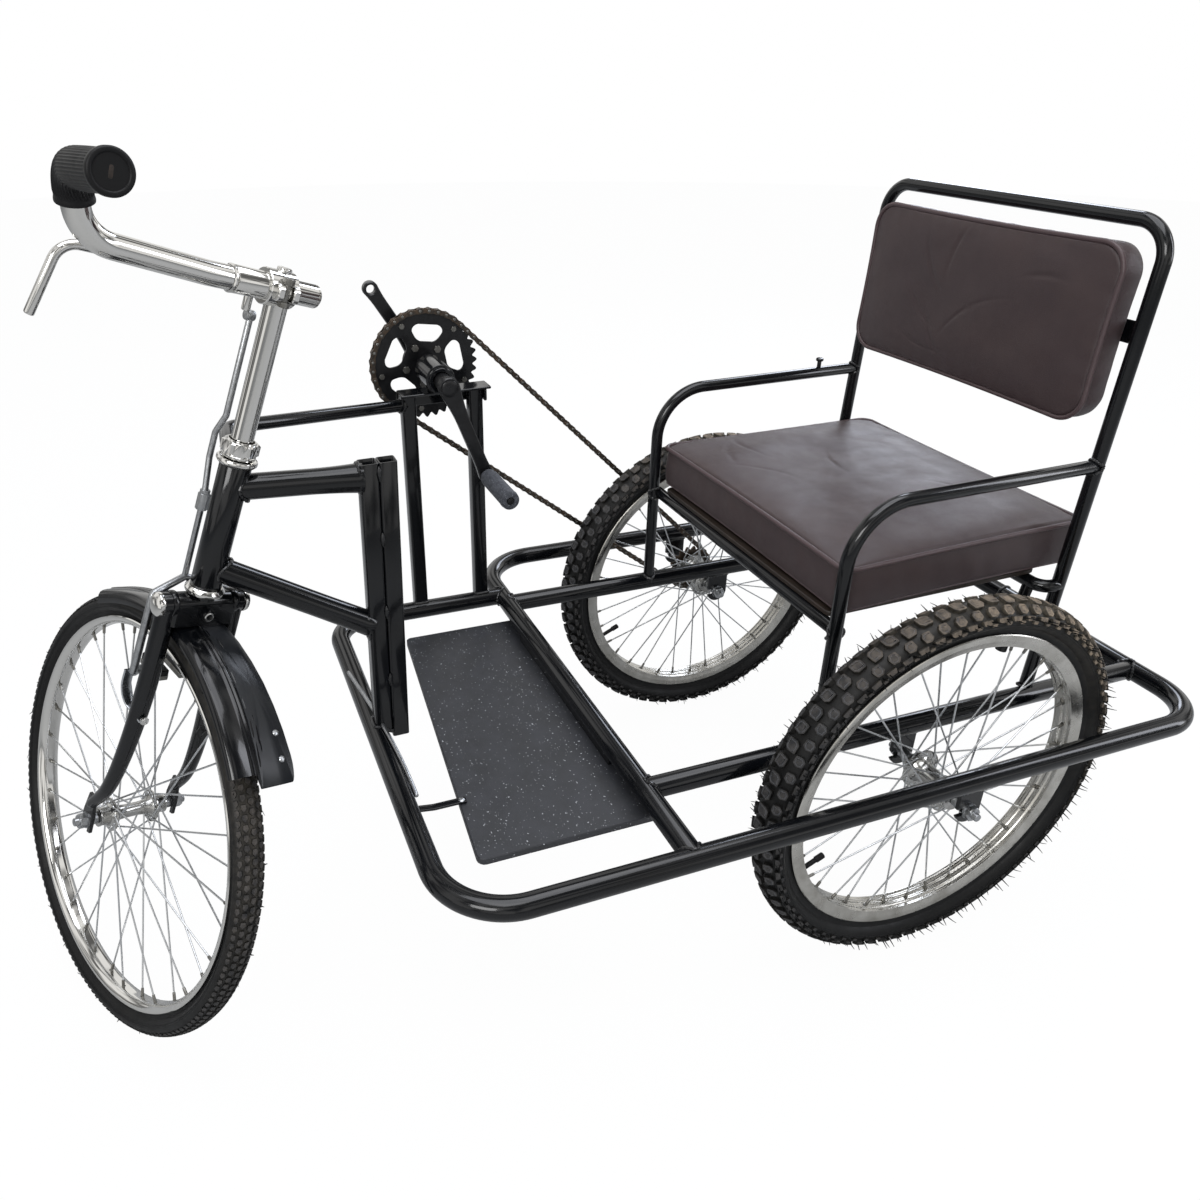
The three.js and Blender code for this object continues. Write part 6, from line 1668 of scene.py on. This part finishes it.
@dataclass
class RodBrake:
    """The rod brake: a long lever under the bar, a pull rod, a stirrup and two shoes."""

    lever_radius: float = 4.3
    rod_radius: float = 3.2
    stirrup_radius: float = 4.2

    def build(self) -> None:
        """Builds the lever, the pull rod with its stirrup, and both shoes."""
        lever = Piece("rod_lever", STEERING)
        corners = [(14, -25, 146), (14, -25, 172), (190, -25, 172), (205, -25, 109)]
        lever.tube(bent_path(corners, (8, 20), 5), self.lever_radius, 24, AXIS_Y, 1.6)
        lever.build("brake_lever", "brake_lever", (CHROME,))
        rod = Piece("pull_rod_and_stirrup", STEERING)
        path = [(6, -27, 147), (6, -27, 40), (9, -34, 20), (9, -34, -7.4), (9, -27, -44), (9, -27, -140)]
        rod.tube(bent_path(path, (10, 10, 10, 10), 5), self.rod_radius, 22, AXIS_X)
        rod.hexagon((9, -27, -62), AXIS_Z, 11, 18)
        rod.hexagon((9, -27, -44), AXIS_Z, 9, 4)
        rod.rod((2.4, -27, 142), (12, -27, 142), 5.0, 22)
        arm = [(46, -17, -153), (47, -19, -249), (27, -38, -257), (16, -36, -257)]
        right, left = (
            bent_path([path[-1], *[(side * x, y, z) for x, y, z in arm]], (6, 6, 3), 8) for side in (-1, 1)
        )
        rod.tube(np.concatenate([right[::-1], left[1:]]), self.stirrup_radius, 20, AXIS_Y)
        rod.build("brake_rod", "brake_rod", (ZINC,))
        for side in Side:
            x = side.value * 13
            shoe = Piece(f"brake_block_{side.word}", STEERING)
            shoe.flat([rectangle(12, 42, 2.5)], -256.5, -248.9, Facing.Z, 1.0, (x, -36, 0))
            shoe.flat([rectangle(13, 40, 1.2)], -262, -255.8, Facing.Z, 0.7, (x, -36, 0), mark=1)
            shoe.hexagon((x + side.value * 6, -36, -257.5), AXIS_X * side.value, 9, 4, mark=1)
            shoe.build(f"brake_shoe_{side.word}", "brake_rod", (RUBBER, WORN))


BACK_LEAN_SHARE = 0.0437


def upright_y(z: float) -> float:
    """Where the backrest's uprights are at a height, leaning back a little."""
    return 204.4 + BACK_LEAN_SHARE * (z - 601)


@dataclass
class SeatFrame:
    """The bent tubes that carry the seat, the armrests and the backrest."""

    upright_x: float = 219.0
    tube: float = 8.0
    top: float = 864.0
    arm_height: float = 600.3
    arm_front: float = -130.0
    seat_height: float = 446.0
    front_y: float = -123.0
    rear_y: float = 172.0

    def build_back(self) -> None:
        """Builds the backrest hoop and its welds to the rails."""
        hoop = Piece("backrest_hoop")
        corners = [(-1, 300), (-1, self.top), (1, self.top), (1, 300)]
        corners = [(side * self.upright_x, upright_y(z), z) for side, z in corners]
        hoop.tube(bent_path(corners, (40, 40), 4), self.tube, 28, AXIS_Y)
        for side in (-1, 1):
            foot = (side * self.upright_x, upright_y(290), rail_z(195))
            hoop.weld(foot, AXIS_Z, AXIS_Y, self.tube, RAIL_RADIUS)
        hoop.build("backrest_frame")

    def build_arms(self) -> None:
        """Builds both armrest tubes, and the stud on the right one."""
        z, front = self.arm_height, self.arm_front
        for side in Side:
            x = side.value * self.upright_x
            back, foot = (x, upright_y(z), z), (x, front, rail_z(front))
            arm = Piece(f"armrest_{side.word}_tube")
            arm.tube(bent_path([back, (x, front, z), foot], (70,), 4), self.tube, 28, AXIS_X)
            arm.weld(back, -AXIS_Y, AXIS_Z, self.tube, self.tube)
            arm.weld(foot, AXIS_Z, AXIS_Y, self.tube, RAIL_RADIUS)
            if side is Side.RIGHT:
                arm.rod((x, 137, z + 6), (x, 137, z + 17), 3, 20)
                stud = [(0, 2), (0, 4.6), (1, 5.5), (3.4, 5.5), (4.4, 4.6), (4.6, 1)]
                arm.turn(stud, 28, (x, 137, z + 17), AXIS_Z)
            arm.build(f"armrest_{side.word}")

    def build_seat_tubes(self) -> None:
        """Builds the seat's front and rear cross tubes, the rear stub, the board and the backrest's band."""
        x, z = self.upright_x, self.seat_height
        front = Piece("seat_tube_front").rod((-x, self.front_y, z), (x, self.front_y, z), self.tube, 28)
        for side in (-1, 1):
            front.weld((side * x, self.arm_front, z), -AXIS_X * side, AXIS_Z, self.tube, self.tube)
        front.build("seat_front_tube")
        rear = Piece("seat_tube_rear")
        y = upright_y(z)
        corners = [(x, y, z), (x, self.rear_y, z), (-x, self.rear_y, z), (-x, y, z)]
        rear.tube(bent_path(corners, (17, 17), 5), self.tube, 28, AXIS_Z)
        rear.rod((200, self.rear_y, z), (200, 154, 350), 7, 24)
        rear.build("seat_rear_tube", finishes=(PAINT,))
        board = Piece("seat_plywood")
        board.flat([rectangle(392, 305, 8)], 454.3, 460.3, Facing.Z, 0.8, (0, 29.2, 0))
        board.build("seat_board", finishes=(PLYWOOD,))
        height = 748.5
        band = Piece("backrest_band", Place((0, upright_y(height) + 8.0, height), turned(AXIS_X, -87.5)))
        band.flat([rectangle(438, 25, 3)], 0.6, 3.6, Facing.Z, 0.6)
        band.build("backrest_strap", finishes=(PAINT,))

    def build(self) -> None:
        """Builds the whole frame of the seat."""
        self.build_back()
        self.build_arms()
        self.build_seat_tubes()


@dataclass
class Cushion:
    """A foam pad in leathercloth: soft sides, a piped top seam and a crowned, lightly creased face."""

    name: str
    node: str
    place: Place
    half: Point
    seam: float
    crown: float
    corner: float
    bulge: float
    seed: int
    pull: float = 3.0
    taper_share: float = 0.0
    count: int = 320

    def outline(self, away: float) -> Array:
        """The pad's outline moved inwards: a rounded rectangle whose sides pull in between its corners."""
        half = np.asarray(self.half, float)
        base = rounded_outline(half * [(-1, -1), (1, -1), (1, 1), (-1, 1)], self.corner, 14)
        even, _ = even_path(np.concatenate([base, base[:1]]), self.count, endpoint=False)
        share = even / half
        even -= self.pull * share * (1 - share[:, ::-1] ** 2)
        even[:, 0] *= 1 - self.taper_share * (1 + share[:, 1]) / 2
        return even * (1 - away / half)

    def wrinkle(self, x: Array, y: Array) -> Array:
        """The face's relief: waves of a few lengths and directions, and gathers beside the seam."""
        half_x, half_y = self.half
        rng = np.random.default_rng(self.seed)
        total = np.zeros_like(x)
        for _ in range(9):
            angle = rng.uniform(0, np.pi)
            size = rng.uniform(60, 170)
            phase = rng.uniform(0, 2 * np.pi)
            line = (x * math.cos(angle) + y * math.sin(angle)) / size * 2 * np.pi
            total += 0.22 * np.sin(line + phase + 0.8 * np.sin(line * 0.4 + phase))
        for _ in range(7):
            across, along = x - rng.uniform(-0.7, 0.7) * half_x, y - rng.uniform(-0.7, 0.7) * half_y
            angle = rng.uniform(0, np.pi)
            u = across * math.cos(angle) + along * math.sin(angle)
            v = along * math.cos(angle) - across * math.sin(angle) + 0.004 * u**2
            total -= rng.uniform(0.8, 1.6) * np.exp(-((v / 2.6) ** 2) - (u / rng.uniform(22, 48)) ** 2)
        edge = np.minimum(half_x - np.abs(x), half_y - np.abs(y))
        gather = np.sin((x + y) / 7.3) * np.sin((x - y) / 9.1 + 1.0)
        return total * np.clip(edge / 30, 0, 1) + 0.9 * gather * np.exp(-np.maximum(edge, 0) / 13)

    def build(self) -> None:
        """Builds the pad and its piping."""
        rings = [raised(self.outline(14), 0.0)]
        step = np.arange(self.count)
        for share in np.linspace(0, 1, 14):
            belly = math.sin(math.pi * share)
            loop = self.outline(3.0 + 6 * (1 - min(share / 0.12, 1.0)) ** 2 - self.bulge * belly**0.8)
            ripple = 0.7 * np.sin(step * 0.61 + 3 * share) * np.sin(step * 0.173 + 1.3) * belly
            rings.append(raised(loop + unit(loop) * ripple[:, None], 0.6 + (self.seam - 0.6) * share))
        for share in np.concatenate([np.linspace(0.012, 0.3, 22), np.linspace(0.325, 0.975, 27)]):
            loop = self.outline(3.0) * (1 - share)
            dome = np.prod(1 - np.abs(loop / self.half) ** 4.5, axis=1)
            crown = self.crown * np.maximum(dome, 0) ** 0.62
            rings.append(raised(loop, self.seam + crown + self.wrinkle(*loop.T)))
        pad = Piece(self.name, self.place).grid(np.stack(rings))
        piping = raised(self.outline(1.2), self.seam + 0.8)
        pad.grid(tube_rings(piping, 2.9, 12, loop=True), closed=True, mark=1)
        pad.bead(raised(self.outline(3.4), 5.0), 1.2)
        piece = pad.build(self.node, finishes=(LEATHER, PIPING), crease=60)


def cushions() -> tuple[Cushion, Cushion]:
    """The seat and the backrest pads."""
    seat = Cushion(
        "seat_pad", "seat_cushion", Place((-3.0, 56.0, 460.6)), (214, 178), seam=57.4, crown=13, corner=17,
        bulge=2.5, seed=11, taper_share=0.035,
    )
    height = 742.5
    lean = turned(AXIS_X, 90 - math.degrees(math.atan(BACK_LEAN_SHARE)))
    place = Place((0.0, 214.36 + BACK_LEAN_SHARE * (height - 655), height), lean)
    back = Cushion(
        "backrest_pad", "backrest_cushion", place, (201, 99.5), seam=34, crown=8, corner=34, bulge=2.0, seed=5
    )
    return seat, back


@dataclass
class Studio:
    """A pale floor, soft lamps, a white surround and the photograph's camera; lengths are in metres."""

    floor_colour: str = "#f1f1f1"
    mirrored_floor_colour: str = "#a9a8a6"
    white_share: float = 0.97
    floor_radius: float = 9.0
    camera_place: Point = (0.9729, -0.4435, 1.0125)
    yaw: float = 69.48
    pitch: float = -28.17
    roll: float = -0.32
    lens: float = 28.815
    shift: Point = (0.0621, -0.0184)

    def build_floor(self) -> None:
        """Builds the floor, a wide disc whose far part is hidden by the white surround."""
        material = bpy.data.materials.new("studio_paper")
        tree = empty_tree(material)
        path = add(tree, "LightPath").outputs
        colour = mixed(tree, path["Is Glossy Ray"], srgb(self.floor_colour), srgb(self.mirrored_floor_colour))
        inputs = {"Base Color": colour, "Roughness": 0.8, "Specular IOR Level": 0.2}
        paper = add(tree, "BsdfPrincipled", inputs=inputs)
        white = add(tree, "Emission", inputs={"Color": (1.0, 1.0, 1.0, 1.0), "Strength": 1.0})
        both = joined(tree, times(tree, path["Is Camera Ray"], self.white_share), paper, white)
        add(tree, "OutputMaterial", inputs={"Surface": both.outputs[0]})
        mesh = bpy.data.meshes.new("studio_floor")
        ring = raised(circle(self.floor_radius, 96), -0.0005)
        mesh.from_pydata(ring.tolist(), [], [list(range(len(ring)))])
        mesh.materials.append(material)
        floor = bpy.data.objects.new("studio_floor", mesh)
        bpy.context.scene.collection.objects.link(floor)

    def build_world(self) -> None:
        """Builds the surround: even pale light, a patchy room in mirrors, and plain white for the camera."""
        world = bpy.data.worlds.new("studio_world")
        bpy.context.scene.world = world
        tree = empty_tree(world)
        path = add(tree, "LightPath").outputs
        soft = add(tree, "Background", inputs={"Color": srgb("#dfe4ea"), "Strength": 0.75})
        white = add(tree, "Background", inputs={"Color": (1.0, 1.0, 1.0, 1.0), "Strength": 1.0})
        walls = noise(tree, add(tree, "TexCoord").outputs["Generated"], 2.6, 2.0)
        strength = spread(tree, walls, 0.42, 0.56, 0.16, 1.15)
        room = add(tree, "Background", inputs={"Color": srgb("#efeeec"), "Strength": strength})
        lit = joined(tree, path["Is Glossy Ray"], soft, room)
        both = joined(tree, path["Is Camera Ray"], lit, white)
        add(tree, "OutputWorld", inputs={"Surface": both.outputs[0]})

    def lamp(self, name: str, place: Point, aim: Point, size: Point, power: float, colour: str) -> None:
        """Adds a soft box that faces a point."""
        data = bpy.data.lights.new(name, "AREA")
        data.shape = "RECTANGLE"
        data.size, data.size_y = size
        data.energy = power
        data.color = srgb(colour)[:3]
        lamp = bpy.data.objects.new(name, data)
        lamp.location = place
        lamp.rotation_euler = (Vector(aim) - Vector(place)).to_track_quat("-Z", "Y").to_euler()
        bpy.context.scene.collection.objects.link(lamp)

    def build_lamps(self) -> None:
        """Builds a broad overhead box, a key from the camera's left and two strips from behind."""
        self.lamp("overhead_box", (0.2, 0.1, 3.2), (0, 0, 0.3), (2.8, 2.2), 62, "#f7f9ff")
        self.lamp("key_box", (2.4, -2.2, 2.2), (0, -0.1, 0.4), (1.6, 1.2), 42, "#ffffff")
        self.lamp("rear_strip", (-1.9, 2.2, 2.1), (0, 0, 0.4), (0.7, 2.0), 30, "#eaf1ff")
        self.lamp("side_strip", (1.2, 2.4, 1.5), (0, 0.1, 0.5), (0.5, 1.6), 14, "#f3f6ff")

    def build_camera(self) -> None:
        """Builds the camera at the photograph's place, turn and lens."""
        data = bpy.data.cameras.new("photo_camera")
        data.lens = self.lens
        data.sensor_width = 36
        data.shift_x, data.shift_y = self.shift
        camera = bpy.data.objects.new("photo_camera", data)
        yaw, pitch, roll = (math.radians(value) for value in (self.yaw, self.pitch, self.roll))
        look = Vector((-math.sin(yaw) * math.cos(pitch), math.cos(yaw) * math.cos(pitch), math.sin(pitch)))
        right = look.cross(Vector(AXIS_Z)).normalized()
        up = right.cross(look)
        across = right * math.cos(roll) + up * math.sin(roll)
        above = up * math.cos(roll) - right * math.sin(roll)
        matrix = Matrix((across, above, -look)).transposed().to_4x4()
        matrix.translation = Vector(self.camera_place)
        camera.matrix_world = matrix
        bpy.context.scene.collection.objects.link(camera)
        bpy.context.scene.camera = camera

    def build(self) -> None:
        """Builds the whole studio and sets the plain view transform."""
        self.build_floor()
        self.build_world()
        self.build_lamps()
        self.build_camera()
        bpy.context.scene.view_settings.view_transform = "Standard"


def corners(box: tuple[Vector, Vector]) -> list[list[float]]:
    """A box's lowest and highest corner as plain lists."""
    return [[float(value) for value in corner] for corner in box]


def main() -> None:
    """Builds the tricycle's looks and the studio."""
    logging.basicConfig(level=logging.INFO, format="%(name)s: %(message)s")
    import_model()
    wheels = (rear_wheel(Side.LEFT), rear_wheel(Side.RIGHT), front_wheel())
    parts = (RailFrame(), Footrest(), FrontTriangle(), *wheels, CrankDrive(), Steering(), RodBrake())
    for part in (*parts, SeatFrame(), *cushions(), Studio()):
        part.build()
    bpy.context.view_layer.update()


if __name__ == "__main__":
    main()
